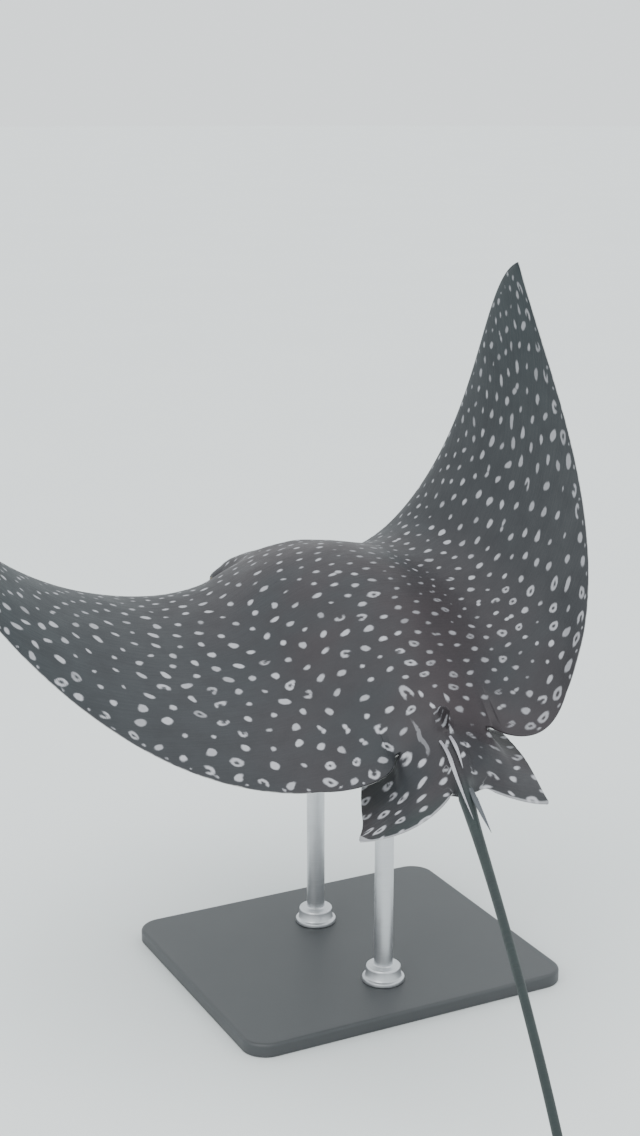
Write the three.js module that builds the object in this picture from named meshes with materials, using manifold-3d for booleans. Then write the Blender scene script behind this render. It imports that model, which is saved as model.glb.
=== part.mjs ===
// Spotted eagle ray: a still, life-size model of the whole animal on a display stand.
// Millimetres, +Z up, head toward +Y, the ray's own right toward +X.
// The body is drawn flat and spread, joined, bent into its swimming pose, then divided.
import * as THREE from 'three';
import Module from 'manifold-3d';

const wasm = await Module();
wasm.setup();
const { Manifold } = wasm;

// ---------------------------------------------------------------- driving sizes, mm
const DISC_WIDTH = 1500;            // tip to tip, spread flat
const HALF = DISC_WIDTH / 2;
const SNOUT_Y = 450;                // snout tip, flat body
const ROOT_X = 90;                  // where a wing starts to bend
const GAP = 0.3;                    // between neighbouring parts
const EDGE_THICK = 2.4;             // wing and fin rims

// leading edge, trailing edge and inner rear corner of the disc: out from the midline, forward
const LEAD = [[90, 292], [191, 300], [662, 164], [HALF, -78]];
const TRAIL = [[HALF, -78], [542, -68], [431, -398], [202, -442]];
const CORNER = [[202, -442], [142, -475], [93, -463], [78, -400]];

// wing height over the span, and how much of the upper height the lower side has
const WING_TOP = { x: [0, 90, 150, 225, 300, 450, 600, HALF], z: [67, 67, 50, 34, 24, 13, 7.5, 1.2] };
const LOWER_SHARE = 0.58;

// trunk: distance behind the snout tip, rise above the wing, half width, drop below
const TRUNK = {
  d: [150, 225, 300, 375, 450, 525, 600, 675, 750, 810, 870],
  rise: [30, 37, 42, 48, 50, 48, 44, 40, 39, 40, 34],
  half: [115, 145, 188, 222, 232, 218, 190, 155, 118, 92, 80],
  drop: [26, 29, 31, 32, 33, 32, 30, 28, 26, 26, 24],
};

// head: distance behind the snout tip, half width, top, underside
const HEAD = {
  d: [0, 7, 18, 34, 52, 66, 80, 100, 124, 156, 195, 240, 285, 330, 375],
  half: [7, 27, 42, 53, 61, 68, 75, 83, 89, 92, 98, 106, 110, 100, 70],
  top: [-30, -25, -20, -14, -5, 10, 25, 40, 51, 60, 72, 86, 94, 92, 74],
  low: [-38, -43, -47, -50, -53, -56, -58, -60, -62, -64, -66, -68, -68, -62, -50],
};

// tail: distance behind the snout tip, half width, top, underside
const TAIL = {
  d: [640, 720, 780, 830, 870, 910, 950, 1000, 1060, 1150, 1300, 1600, 2200, 3000, 3900],
  half: [60, 56, 50, 41, 32, 23.5, 17, 12.2, 9, 7, 5.9, 5.3, 4.5, 3.3, 1.8],
  top: [44, 48, 43, 36, 30, 24, 18.5, 14, 10.5, 8, 6.3, 5.4, 4.5, 3.3, 1.8],
  low: [-30, -36, -35, -31, -26, -21, -16.5, -12.5, -9.5, -7.4, -6, -5.2, -4.4, -3.3, -1.8],
};

// pelvic fins: front edge root to tip, rear edge root to tip (out, forward), thickness
const PELVIC = {
  frontLeft: [[34, -300], [128, -300], [150, -400], [158, -500]],
  rearLeft: [[14, -548], [55, -602], [125, -590], [158, -500]],
  frontRight: [[34, -300], [135, -240], [134, -400], [172, -514]],
  rearRight: [[14, -500], [50, -530], [110, -545], [172, -514]],
  hinge: 30, lead: -300, height: -12, thickRoot: 17, thickTip: 5,
  foldLeft: 0.47, foldRight: 0.41, swingRight: 0.21,
};
// broad root of the tail between the pelvic fins: distance behind the snout tip, half width,
// how round it is across, height of the crown, depth below the fins' own plane
const ROOT = {
  d: [740, 800, 850, 895, 935, 962, 982, 996],
  half: [86, 96, 98, 84, 64, 46, 30, 10],
  swell: [0.6, 0.6, 0.7, 1.0, 1.3, 1.5, 1.5, 1.5],
  crown: [36, 34, 28, 22, 14, 9, 4, 0],
  keel: [18, 18, 17, 15, 12, 9, 6, 3],
};
// back fin over the tail root: distance behind the snout tip, height of the rim
const BACK_FIN = { front: 800, rear: 868, tip: 880, foot: 24, height: 66, thick: 10 };

// eyes and the openings behind them
const EYE = { x: 82, y: SNOUT_Y - 128, z: 10, r: 15 };
const SPIRACLE = { x: 92, y: SNOUT_Y - 176, z: 22, r: [16, 21, 13] };

// stings on top of the tail root: start, length, width, thickness, side swing, lift, radians
const STINGS = [
  { name: 'sting_1', at: [-17, -434, 22], length: 224, wide: 6.2, thick: 4, swing: 0.064, lift: -0.028 },
  { name: 'sting_2', at: [-2, -436, 26], length: 92, wide: 5.8, thick: 3.8, swing: 0.035, lift: -0.06 },
  { name: 'sting_3', at: [6, -570, 11], length: 122, wide: 8.5, thick: 4.4, swing: 0.07, lift: 0.03 },
];

// wing pose: root angle, bend with q, q^2, q^3 (radians), twist with q, q^2, sweep, camber
const POSE_LEFT = [0.151, 0.322, 0.370, 0.258, 0.01, 0.38, -0.17, -0.05];
const POSE_RIGHT = [0.157, 3.074, -2.366, 0.808, -0.15, 0, -0.22, 0.35];
// the trunk sways to the left and rises a little toward the rear (share of width per width squared)
const SPINE_Y = 75;
const SWAY = -0.35;
const RISE = 0.15;
const HEAD_DROOP = { from: 120, share: 0.9 };
// tail course: side and climb angles (radians) over the distance behind the tail root
const TAIL_ROOT_Y = -430;
const TAIL_BEND = {
  s: [0, 80, 250, 600, 1200, 2000, 3600],
  side: [-0.231, -0.422, -0.378, -0.397, -0.47, -0.45, -0.20],
  climb: [0.10, 0.08, 0.04, -0.01, 0.0, 0.13, 0.16],
};
// whole animal: bank (right wing up) and nose lift, radians; height of the body over the floor
const BANK = 0.116;
const NOSE_UP = 0.137;
const LIFT = 560;
const SHIFT = [0, 0];

// display stand
const BASE = { x: 560, y: 480, z: 22, chamfer: 5 };
const ROD = { r: 15, collar: 34, collarH: 26 };
const RODS = [{ name: 'stand_rod_front', at: [0, 110] }, { name: 'stand_rod_rear', at: [0, -130] }];

const COLOUR = {
  back: '#4b4a50', fin: '#4a4b50', tail: '#3c4246', eye: '#14161a', sting: '#b9bcb4',
  stand: '#3a3d40', rod: '#8e9296',
};

// ---------------------------------------------------------------- small maths
const lerp = (a, b, t) => a + (b - a) * t;
const clamp = (v, lo, hi) => Math.min(hi, Math.max(lo, v));
const ease = (v) => clamp(v, 0, 1) ** 2 * (3 - 2 * clamp(v, 0, 1));

function table(xs, ys, x) {
  // smooth curve through a short table (monotone cubic)
  const n = xs.length;
  if (x <= xs[0]) return ys[0];
  if (x >= xs[n - 1]) return ys[n - 1];
  let i = 0;
  while (x > xs[i + 1]) i += 1;
  const slope = (k) => (ys[k + 1] - ys[k]) / (xs[k + 1] - xs[k]);
  const tangent = (k) => {
    if (k === 0) return slope(0);
    if (k === n - 1) return slope(n - 2);
    const a = slope(k - 1);
    const b = slope(k);
    return a * b <= 0 ? 0 : (2 * a * b) / (a + b);
  };
  const h = xs[i + 1] - xs[i];
  const t = (x - xs[i]) / h;
  const t2 = t * t;
  const t3 = t2 * t;
  return (2 * t3 - 3 * t2 + 1) * ys[i] + (t3 - 2 * t2 + t) * h * tangent(i)
    + (-2 * t3 + 3 * t2) * ys[i + 1] + (t3 - t2) * h * tangent(i + 1);
}

function bezier(p, t) {
  const u = 1 - t;
  return [0, 1].map((k) => u * u * u * p[0][k] + 3 * u * u * t * p[1][k]
    + 3 * u * t * t * p[2][k] + t * t * t * p[3][k]);
}

function curveAt(p, x) {
  // y of a bezier edge at a given x, the edge being single valued in x
  const rising = p[3][0] > p[0][0];
  let lo = 0;
  let hi = 1;
  for (let i = 0; i < 40; i += 1) {
    const mid = (lo + hi) / 2;
    const over = bezier(p, mid)[0] > x;
    if (over === rising) hi = mid; else lo = mid;
  }
  return bezier(p, (lo + hi) / 2)[1];
}

// ---------------------------------------------------------------- flat body
const behind = (y) => SNOUT_Y - y;
const leadY = (x) => (x <= LEAD[0][0] ? LEAD[0][1] : curveAt(LEAD, x));
function trailY(x) {
  if (x >= TRAIL[3][0]) return curveAt(TRAIL, x);
  return x <= CORNER[3][0] ? CORNER[3][1] : curveAt(CORNER, x);
}

function hump(x, y) {
  const d = behind(y);
  const u = clamp(Math.abs(x) / (1.15 * table(TRUNK.d, TRUNK.half, d)), 0, 1);
  const bell = (1 - u * u) ** 2.2;
  const fade = clamp((d - 60) / 90, 0, 1);
  return [table(TRUNK.d, TRUNK.rise, d) * bell * fade, table(TRUNK.d, TRUNK.drop, d) * (1 - u * u) ** 1.8 * fade];
}

function discRing(x, steps, g) {
  const ax = Math.abs(x);
  const y0 = leadY(ax) + g;
  const y1 = trailY(ax) - g;
  const tall = table(WING_TOP.x, WING_TOP.z, ax);
  const top = [];
  const low = [];
  for (let k = 0; k <= steps; k += 1) {
    const v = (1 - Math.cos((Math.PI * k) / steps)) / 2;
    const y = lerp(y0, y1, v);
    const s = 2.6 * Math.sqrt(v) * (1 - v);
    const [rise, drop] = hump(x, y);
    const open = (1 - (1 - v) ** 12) * Math.sqrt(1 - clamp((v - 0.88) / 0.12, 0, 1) ** 2);
    top.push([x, y, g + EDGE_THICK / 2 + tall * s + rise * open]);
    low.push([x, y, -g - EDGE_THICK / 2 - LOWER_SHARE * tall * s - drop * open]);
  }
  return [...top, ...low.reverse()];
}

function loft(rings, capA, capB) {
  // closed skin over rings of equal length; a cap is a point
  const n = rings[0].length;
  const verts = rings.flat();
  const tris = [];
  for (let i = 0; i + 1 < rings.length; i += 1) {
    for (let k = 0; k < n; k += 1) {
      const a = i * n + k;
      const b = i * n + ((k + 1) % n);
      tris.push([a, b, a + n], [b, b + n, a + n]);
    }
  }
  const ca = verts.length;
  verts.push(capA, capB);
  const last = (rings.length - 1) * n;
  for (let k = 0; k < n; k += 1) {
    const k1 = (k + 1) % n;
    tris.push([ca, k1, k], [ca + 1, last + k, last + k1]);
  }
  return { verts, tris };
}

function solid({ verts, tris }) {
  let six = 0;
  for (const [a, b, c] of tris) {
    const [p, q, r] = [verts[a], verts[b], verts[c]];
    six += p[0] * (q[1] * r[2] - q[2] * r[1]) - p[1] * (q[0] * r[2] - q[2] * r[0])
      + p[2] * (q[0] * r[1] - q[1] * r[0]);
  }
  const order = six > 0 ? tris : tris.map(([a, b, c]) => [a, c, b]);
  const mesh = new wasm.Mesh({
    numProp: 3,
    vertProperties: Float32Array.from(verts.flat()),
    triVerts: Uint32Array.from(order.flat()),
  });
  mesh.merge();
  return new Manifold(mesh);
}

const mean = (ring) => [0, 1, 2].map((k) => ring.reduce((s, p) => s + p[k], 0) / ring.length);

function disc(g) {
  const steps = 14;
  const xs = [];
  for (let i = 1; i < 17; i += 1) {
    const q = i / 16;
    xs.push(HALF * (q < 0.5 ? q * 0.98 : lerp(0.49, 0.995, ((q - 0.5) / 0.5) ** 0.92)));
  }
  const all = [...xs.slice().reverse().map((x) => -x), 0, ...xs];
  const rings = all.map((x) => discRing(x, steps, g));
  const tip = (s) => [s * HALF, LEAD[3][1], 0];
  return solid(loft(rings, tip(-1), tip(1)));
}

function barrel(tbl, around, sharp) {
  // body along Y from a table of half width, top and underside
  const rings = tbl.d.map((d, i) => {
    const ring = [];
    const mid = lerp(tbl.low[i], tbl.top[i], 0.45);
    for (let k = 0; k < around; k += 1) {
      const a = (2 * Math.PI * (k + 0.5)) / around;
      const c = Math.cos(a);
      const s = Math.sin(a);
      const x = Math.sign(c) * Math.abs(c) ** sharp * tbl.half[i];
      const z = mid + Math.sign(s) * Math.abs(s) ** sharp * (s > 0 ? tbl.top[i] - mid : mid - tbl.low[i]);
      ring.push([x, SNOUT_Y - d, z]);
    }
    return ring;
  });
  return solid(loft(rings, mean(rings[0]), mean(rings[rings.length - 1])));
}

function pelvic(side) {
  // a thin plate folded down about its hinge line
  const fold = side < 0 ? PELVIC.foldLeft : PELVIC.foldRight;
  const swing = side < 0 ? 0 : PELVIC.swingRight;
  const front = side < 0 ? PELVIC.frontLeft : PELVIC.frontRight;
  const rear = side < 0 ? PELVIC.rearLeft : PELVIC.rearRight;
  const set = (x, y0, z) => {
    const back = PELVIC.lead - y0;
    const out = (x - PELVIC.hinge) * Math.cos(swing) - back * Math.sin(swing);
    const y = PELVIC.lead - back * Math.cos(swing) - (x - PELVIC.hinge) * Math.sin(swing);
    return [side * (PELVIC.hinge + out * Math.cos(fold) + z * Math.sin(fold)), y,
      PELVIC.height + z * Math.cos(fold) - out * Math.sin(fold)];
  };
  const rings = [];
  const steps = 7;
  for (let i = 0; i < 9; i += 1) {
    const t = 0.985 * (i / 8) ** 0.85;
    const f = bezier(front, t);
    const r = bezier(rear, t);
    const thick = lerp(PELVIC.thickRoot, PELVIC.thickTip, t);
    const top = [];
    const low = [];
    for (let k = 0; k <= steps; k += 1) {
      const v = (1 - Math.cos((Math.PI * k) / steps)) / 2;
      const x = lerp(f[0], r[0], v);
      const y = lerp(f[1], r[1], v);
      const s = 0.5 * EDGE_THICK + (thick / 2) * 1.9 * Math.sqrt(v) * (1 - v);
      top.push(set(x, y, s));
      low.push(set(x, y, -s));
    }
    rings.push([...top, ...low.reverse()]);
  }
  const tip = bezier(front, 1);
  return solid(loft(rings, mean(rings[0]), set(tip[0], tip[1], 0)));
}

const finPlane = (x) => PELVIC.height - 0.45 * Math.max(0, Math.abs(x) - 25);

function tailRoot(g) {
  // low saddle that carries the pelvic fins at the sides of the tail
  const m = 10;
  const rings = ROOT.d.map((d, i) => {
    const top = [];
    const low = [];
    for (let k = 0; k <= m; k += 1) {
      const u = -Math.cos((Math.PI * k) / m);
      const x = u * (ROOT.half[i] + g);
      const bell = 1 - u * u;
      top.push([x, SNOUT_Y - d, finPlane(x) + 1 + g + (ROOT.crown[i] - PELVIC.height) * bell ** ROOT.swell[i]]);
      low.push([x, SNOUT_Y - d, finPlane(x) - 1 - g - ROOT.keel[i] * bell ** 1.2]);
    }
    return [...top, ...low.reverse()];
  });
  return solid(loft(rings, mean(rings[0]), mean(rings[rings.length - 1])));
}

function backFin() {
  const rings = [];
  for (let i = 0; i <= 6; i += 1) {
    const t = i / 6;
    const z = lerp(BACK_FIN.foot, BACK_FIN.height, t);
    const y0 = -lerp(BACK_FIN.front, BACK_FIN.tip - 16, t ** 1.5) + SNOUT_Y;
    const y1 = -lerp(BACK_FIN.rear, BACK_FIN.tip, t) + SNOUT_Y;
    const half = lerp(BACK_FIN.thick, 2.4, t) / 2;
    const ring = [];
    for (let k = 0; k < 10; k += 1) {
      const a = (2 * Math.PI * k) / 10;
      ring.push([half * Math.sin(a), lerp(y0, y1, (1 - Math.cos(a)) / 2), z]);
    }
    rings.push(ring);
  }
  return solid(loft(rings, mean(rings[0]), mean(rings[6])));
}

function sting(s) {
  // a flat tapering spine, pointing back along the tail
  const rings = [];
  for (let i = 0; i <= 8; i += 1) {
    const t = i / 8;
    const taper = t < 0.15 ? lerp(0.75, 1, t / 0.15) : 1 - 0.9 * ((t - 0.15) / 0.85) ** 1.5;
    const along = s.length * t;
    const cx = s.at[0] + along * Math.sin(s.swing);
    const cy = s.at[1] - along * Math.cos(s.swing);
    const cz = s.at[2] + along * Math.sin(s.lift);
    const ring = [];
    for (let k = 0; k < 8; k += 1) {
      const a = (2 * Math.PI * (k + 0.5)) / 8;
      ring.push([cx + Math.cos(a) * (s.wide / 2) * taper, cy, cz + Math.sin(a) * (s.thick / 2) * taper]);
    }
    rings.push(ring);
  }
  return solid(loft(rings, mean(rings[0]), mean(rings[8])));
}

// ---------------------------------------------------------------- bending
function wingCourse(p) {
  const n = 400;
  const span = HALF - ROOT_X;
  const out = [{ x: ROOT_X, z: 0, phi: 0 }];
  const angle = (q) => p[0] * ease(q / 0.26) + (p[1] * q + p[2] * q * q + p[3] * q ** 3) * ease(q / 0.12);
  for (let i = 1; i <= n; i += 1) {
    const a = angle((i - 0.5) / n);
    const prev = out[i - 1];
    out.push({ x: prev.x + (Math.cos(a) * span) / n, z: prev.z + (Math.sin(a) * span) / n, phi: angle(i / n) });
  }
  return out;
}
const COURSES = [wingCourse(POSE_LEFT), wingCourse(POSE_RIGHT)];

function alongWing(course, q) {
  const f = clamp(q, 0, 1) * (course.length - 1);
  const i = Math.min(course.length - 2, Math.floor(f));
  const t = f - i;
  const [a, b] = [course[i], course[i + 1]];
  return { x: lerp(a.x, b.x, t), z: lerp(a.z, b.z, t), phi: lerp(a.phi, b.phi, t) };
}

const bowed = (y) => ((SPINE_Y - y) / DISC_WIDTH) ** 2 * DISC_WIDTH;

function tailCourse() {
  const step = 5;
  const bow = bowed(TAIL_ROOT_Y);
  const out = [[SWAY * bow, TAIL_ROOT_Y, RISE * bow, TAIL_BEND.side[0], TAIL_BEND.climb[0]]];
  for (let s = step; s <= 3600; s += step) {
    const side = table(TAIL_BEND.s, TAIL_BEND.side, s - step / 2);
    const climb = table(TAIL_BEND.s, TAIL_BEND.climb, s - step / 2);
    const [x, y, z] = out[out.length - 1];
    out.push([x + step * Math.sin(side) * Math.cos(climb), y - step * Math.cos(side) * Math.cos(climb),
      z + step * Math.sin(climb), side, climb]);
  }
  return { step, out };
}
const TAIL_COURSE = tailCourse();

function bend([x, y, z]) {
  const side = x < 0 ? -1 : 1;
  const ax = Math.abs(x);
  let out = [x, y, z];
  if (ax > ROOT_X) {
    const p = side < 0 ? POSE_LEFT : POSE_RIGHT;
    const q = (ax - ROOT_X) / (HALF - ROOT_X);
    const at = alongWing(COURSES[side < 0 ? 0 : 1], q);
    const pivot = lerp(45, -177, clamp(q, 0, 1));
    const soft = q * ease(q / 0.25);
    const twist = p[4] * soft + p[5] * q * q;
    const dy = y - pivot;
    const zz = z + p[7] * soft * (dy / 375) ** 2 * 150;
    const dy2 = dy * Math.cos(twist) - zz * Math.sin(twist);
    const z2 = dy * Math.sin(twist) + zz * Math.cos(twist);
    out = [side * (at.x - z2 * Math.sin(at.phi)), pivot + dy2 - p[6] * q * q * 750, at.z + z2 * Math.cos(at.phi)];
  }
  const droop = Math.max(0, out[1] - HEAD_DROOP.from) / DISC_WIDTH;
  out[2] -= HEAD_DROOP.share * droop * droop * DISC_WIDTH;
  if (out[1] < SPINE_Y && out[1] >= TAIL_ROOT_Y) {
    const bow = bowed(out[1]);
    return [out[0] + SWAY * bow, out[1], out[2] + RISE * bow];
  }
  if (out[1] < TAIL_ROOT_Y) {
    const s = TAIL_ROOT_Y - out[1];
    const turn = ease(s / 200);
    const f = Math.min(s / TAIL_COURSE.step, TAIL_COURSE.out.length - 1.001);
    const i = Math.floor(f);
    const c = [0, 1, 2, 3, 4].map((k) => lerp(TAIL_COURSE.out[i][k], TAIL_COURSE.out[i + 1][k], f - i));
    const [cs, ss] = [Math.cos(c[3] * turn), Math.sin(c[3] * turn)];
    const [cc, sc] = [Math.cos(c[4] * turn), Math.sin(c[4] * turn)];
    const [ox, oz] = [out[0], out[2]];
    out = [c[0] + ox * cs - oz * sc * ss, c[1] + ox * ss + oz * sc * cs, c[2] + oz * cc];
  }
  return out;
}

function place([x, y, z]) {
  const x1 = x * Math.cos(BANK) - z * Math.sin(BANK);
  const z1 = z * Math.cos(BANK) + x * Math.sin(BANK);
  return [x1 + SHIFT[0], y * Math.cos(NOSE_UP) - z1 * Math.sin(NOSE_UP) + SHIFT[1],
    z1 * Math.cos(NOSE_UP) + y * Math.sin(NOSE_UP) + LIFT];
}

const world = (m) => m.warp((v) => {
  const p = place(bend([v[0], v[1], v[2]]));
  v[0] = p[0];
  v[1] = p[1];
  v[2] = p[2];
});

// ---------------------------------------------------------------- flat shells, joined
function grown(tbl, g) {
  return {
    d: tbl.d, half: tbl.half.map((v) => v + g), top: tbl.top.map((v) => v + g), low: tbl.low.map((v) => v - g),
  };
}

function resample(tbl, stations) {
  const pick = (key) => stations.map((d) => table(tbl.d, tbl[key], d));
  return { d: stations, half: pick('half'), top: pick('top'), low: pick('low') };
}

const TAIL_STATIONS = [];
for (let d = TAIL.d[0]; d < TAIL.d[TAIL.d.length - 1] + 1;) {
  TAIL_STATIONS.push(d);
  d += d < 1000 ? 30 : d < 1400 ? 65 : 130;
}
TAIL_STATIONS[TAIL_STATIONS.length - 1] = TAIL.d[TAIL.d.length - 1];

function flesh(g) {
  return Manifold.union([
    disc(g),
    barrel(grown(HEAD, g), 24, 0.86),
    barrel(grown(resample(TAIL, TAIL_STATIONS), g), 12, 1),
    tailRoot(g),
  ]);
}

function ball(x, y, z, r, segments) {
  const rr = Array.isArray(r) ? r : [r, r, r];
  return Manifold.sphere(1, segments).scale(rr).translate([x, y, z]);
}

const sockets = [-1, 1].flatMap((s) => [
  ball(s * EYE.x, EYE.y, EYE.z, EYE.r + GAP, 20),
  ball(s * SPIRACLE.x, SPIRACLE.y, SPIRACLE.z, SPIRACLE.r, 18),
]);
const bodyFlat = Manifold.difference([flesh(0), ...sockets]);
const neighbour = flesh(2 * GAP);

// ---------------------------------------------------------------- cuts
function cutAt(x, side) {
  // a plane across a wing at a flat distance out, in world terms, facing outwards
  const a = place(bend([side * x, 0, -20]));
  const b = place(bend([side * x, 0, 40]));
  const c = place(bend([side * x, -60, 0]));
  const u = [0, 1, 2].map((k) => b[k] - a[k]);
  const v = [0, 1, 2].map((k) => c[k] - a[k]);
  const n = [u[1] * v[2] - u[2] * v[1], u[2] * v[0] - u[0] * v[2], u[0] * v[1] - u[1] * v[0]];
  return facing(n, a, place([side * 2000, 0, 0]));
}

function crossCut(y) {
  // the plane a flat cross section lands on, facing forward
  const [a, b, c] = [[-15, y, 0], [15, y, 0], [0, y, 15]].map((p) => place(bend(p)));
  const u = [0, 1, 2].map((k) => b[k] - a[k]);
  const v = [0, 1, 2].map((k) => c[k] - a[k]);
  const n = [u[1] * v[2] - u[2] * v[1], u[2] * v[0] - u[0] * v[2], u[0] * v[1] - u[1] * v[0]];
  return facing(n, a, place(bend([0, y + 60, 0])));
}

function facing(n, at, toward) {
  const len = Math.hypot(...n);
  let unit = n.map((v) => v / len);
  const dot = unit.reduce((s, v, k) => s + v * (toward[k] - at[k]), 0);
  if (dot < 0) unit = unit.map((v) => -v);
  return { n: unit, h: unit.reduce((s, v, k) => s + v * at[k], 0) };
}

const above = (m, c) => m.trimByPlane(c.n, c.h + GAP / 2);
const below = (m, c) => m.trimByPlane(c.n.map((v) => -v), -c.h + GAP / 2);

const WING_CUTS = [180, 440];
const HEAD_CUTS = [SNOUT_Y - 56, SNOUT_Y - 190];
const TAIL_CUTS = [-478, -760, -1330, -2280];

const whole = world(bodyFlat);
const skin = world(neighbour);

const list = [];
function node(name, manifold, colour, roughness, metalness = 0) {
  // the largest body of a cut is the part
  const bodies = manifold.decompose().sort((a, b) => b.volume() - a.volume());
  const mesh = bodies[0].getMesh();
  const geometry = new THREE.BufferGeometry();
  const xyz = new Float32Array(mesh.numVert * 3);
  for (let i = 0; i < mesh.numVert; i += 1) {
    for (let k = 0; k < 3; k += 1) xyz[i * 3 + k] = mesh.vertProperties[i * mesh.numProp + k];
  }
  geometry.setAttribute('position', new THREE.BufferAttribute(xyz, 3));
  geometry.setIndex(Array.from(mesh.triVerts));
  geometry.computeVertexNormals();
  const material = new THREE.MeshStandardMaterial({ color: colour, roughness, metalness });
  const part = new THREE.Mesh(geometry, material);
  part.name = name;
  list.push(part);
}

const flank = WING_CUTS.map((x) => [cutAt(x, -1), cutAt(x, 1)]);
const heads = HEAD_CUTS.map(crossCut);
const tails = TAIL_CUTS.map(crossCut);
const spread = above(whole, tails[0]);
const centre = below(below(spread, flank[0][0]), flank[0][1]);

node('snout', above(centre, heads[0]), COLOUR.back, 0.5);
node('head', above(below(centre, heads[0]), heads[1]), COLOUR.back, 0.5);
node('trunk', below(centre, heads[1]), COLOUR.back, 0.5);
['left', 'right'].forEach((word, i) => {
  const outside = above(spread, flank[0][i]);
  node(`wing_${word}_inner`, below(outside, flank[1][i]), COLOUR.fin, 0.5);
  node(`wing_${word}_outer`, above(outside, flank[1][i]), COLOUR.fin, 0.5);
});
let rest = below(whole, tails[0]);
for (let i = 1; i <= TAIL_CUTS.length; i += 1) {
  node(`tail_${i}`, i < TAIL_CUTS.length ? above(rest, tails[i]) : rest, COLOUR.tail, 0.5);
  if (i < TAIL_CUTS.length) rest = below(rest, tails[i]);
}
[-1, 1].forEach((s, i) => {
  const word = ['left', 'right'][i];
  node(`pelvic_${word}`, world(pelvic(s).subtract(neighbour)), COLOUR.fin, 0.5);
  node(`eye_${word}`, world(ball(s * EYE.x, EYE.y, EYE.z, EYE.r, 20)), COLOUR.eye, 0.15);
});
node('back_fin', world(backFin().subtract(neighbour)), COLOUR.fin, 0.5);
STINGS.forEach((s) => node(s.name, world(sting(s).subtract(neighbour)), COLOUR.sting, 0.4));

// ---------------------------------------------------------------- stand
function slab() {
  const ring = (inset, z) => {
    const [hx, hy, c] = [BASE.x / 2 - inset, BASE.y / 2 - inset, 40 - inset];
    const pts = [];
    for (const [sx, sy, from] of [[1, 1, 0], [-1, 1, 90], [-1, -1, 180], [1, -1, 270]]) {
      for (let k = 0; k <= 4; k += 1) {
        const a = ((from + k * 22.5) * Math.PI) / 180;
        pts.push([sx * (hx - c) + c * Math.cos(a), sy * (hy - c) + c * Math.sin(a), z]);
      }
    }
    return pts;
  };
  return solid(loft([ring(0, 0), ring(0, BASE.z - BASE.chamfer), ring(BASE.chamfer, BASE.z)],
    [0, 0, 0], [0, 0, BASE.z]));
}
node('stand_base', slab(), COLOUR.stand, 0.5);
RODS.forEach((rod) => {
  const from = BASE.z + GAP;
  const collar = Manifold.cylinder(ROD.collarH, ROD.collar, ROD.collar - 6, 32);
  const post = Manifold.cylinder(LIFT + 40, ROD.r, ROD.r, 28);
  node(rod.name, collar.add(post).translate([rod.at[0], rod.at[1], from]).subtract(skin), COLOUR.rod, 0.3, 0.9);
});

const group = new THREE.Group();
group.name = 'spotted_eagle_ray';
list.forEach((m) => group.add(m));

export default group;
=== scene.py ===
"""Spotted eagle ray on a display stand: one skin, eyes, tail stings and the stand."""
import math

import bmesh
import bpy
import numpy as np
from mathutils import Matrix, Vector, kdtree


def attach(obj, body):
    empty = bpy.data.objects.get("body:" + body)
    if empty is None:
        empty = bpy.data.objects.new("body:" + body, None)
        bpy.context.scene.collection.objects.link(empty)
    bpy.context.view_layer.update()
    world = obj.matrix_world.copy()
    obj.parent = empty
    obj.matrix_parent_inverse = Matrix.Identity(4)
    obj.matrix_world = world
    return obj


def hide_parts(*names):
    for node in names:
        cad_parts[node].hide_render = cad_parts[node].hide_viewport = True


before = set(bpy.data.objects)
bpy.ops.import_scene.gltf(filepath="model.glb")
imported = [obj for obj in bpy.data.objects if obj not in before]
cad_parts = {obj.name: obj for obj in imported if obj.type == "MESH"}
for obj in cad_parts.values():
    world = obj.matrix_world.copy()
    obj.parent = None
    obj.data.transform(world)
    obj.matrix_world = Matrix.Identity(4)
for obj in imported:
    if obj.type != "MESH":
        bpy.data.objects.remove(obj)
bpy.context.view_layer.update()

MM = 0.001

# ---- sizes, mm, body drawn flat
HALF = 750
SNOUT_Y = 450
ROOT_X = 90
EDGE = 1.2
RIM_ROUND = 1.6
LEAD = ((90, 292), (191, 300), (662, 164), (750, -78))
TRAIL = ((750, -78), (542, -68), (431, -398), (202, -442))
CORNER = ((202, -442), (142, -475), (93, -463), (78, -400))
WING_TOP = ((0, 90, 150, 225, 300, 450, 600, 750), (67, 67, 50, 34, 24, 13, 7.5, 1.2))
LOWER_SHARE = 0.58
TRUNK_D = (150, 225, 300, 375, 450, 525, 600, 675, 750, 810, 870)
TRUNK_RISE = (30, 37, 42, 48, 50, 48, 44, 40, 39, 40, 34)
TRUNK_HALF = (115, 145, 188, 222, 232, 218, 190, 155, 118, 92, 80)
TRUNK_DROP = (26, 29, 31, 32, 33, 32, 30, 28, 26, 26, 24)
HEAD_D = (0, 7, 18, 34, 52, 66, 80, 100, 124, 156, 195, 240, 285, 330, 375)
HEAD_HALF = (7, 27, 42, 53, 61, 68, 75, 83, 89, 92, 98, 106, 110, 100, 70)
HEAD_TOP = (-30, -25, -20, -14, -5, 10, 25, 40, 51, 60, 72, 86, 94, 92, 74)
HEAD_LOW = (-38, -43, -47, -50, -53, -56, -58, -60, -62, -64, -66, -68, -68, -62, -50)
TAIL_D = (640, 720, 780, 830, 870, 910, 950, 1000, 1060, 1150, 1300, 1600, 2200, 3000, 3900)
TAIL_HALF = (60, 56, 50, 41, 32, 23.5, 17, 12.2, 9, 7, 5.9, 5.3, 4.5, 3.3, 1.8)
TAIL_TOP = (44, 48, 43, 36, 30, 24, 18.5, 14, 10.5, 8, 6.3, 5.4, 4.5, 3.3, 1.8)
TAIL_LOW = (-30, -36, -35, -31, -26, -21, -16.5, -12.5, -9.5, -7.4, -6, -5.2, -4.4, -3.3, -1.8)
PELVIC_FRONT = {-1: ((34, -300), (128, -300), (150, -400), (158, -500)),
                1: ((34, -300), (135, -240), (134, -400), (172, -514))}
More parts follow.
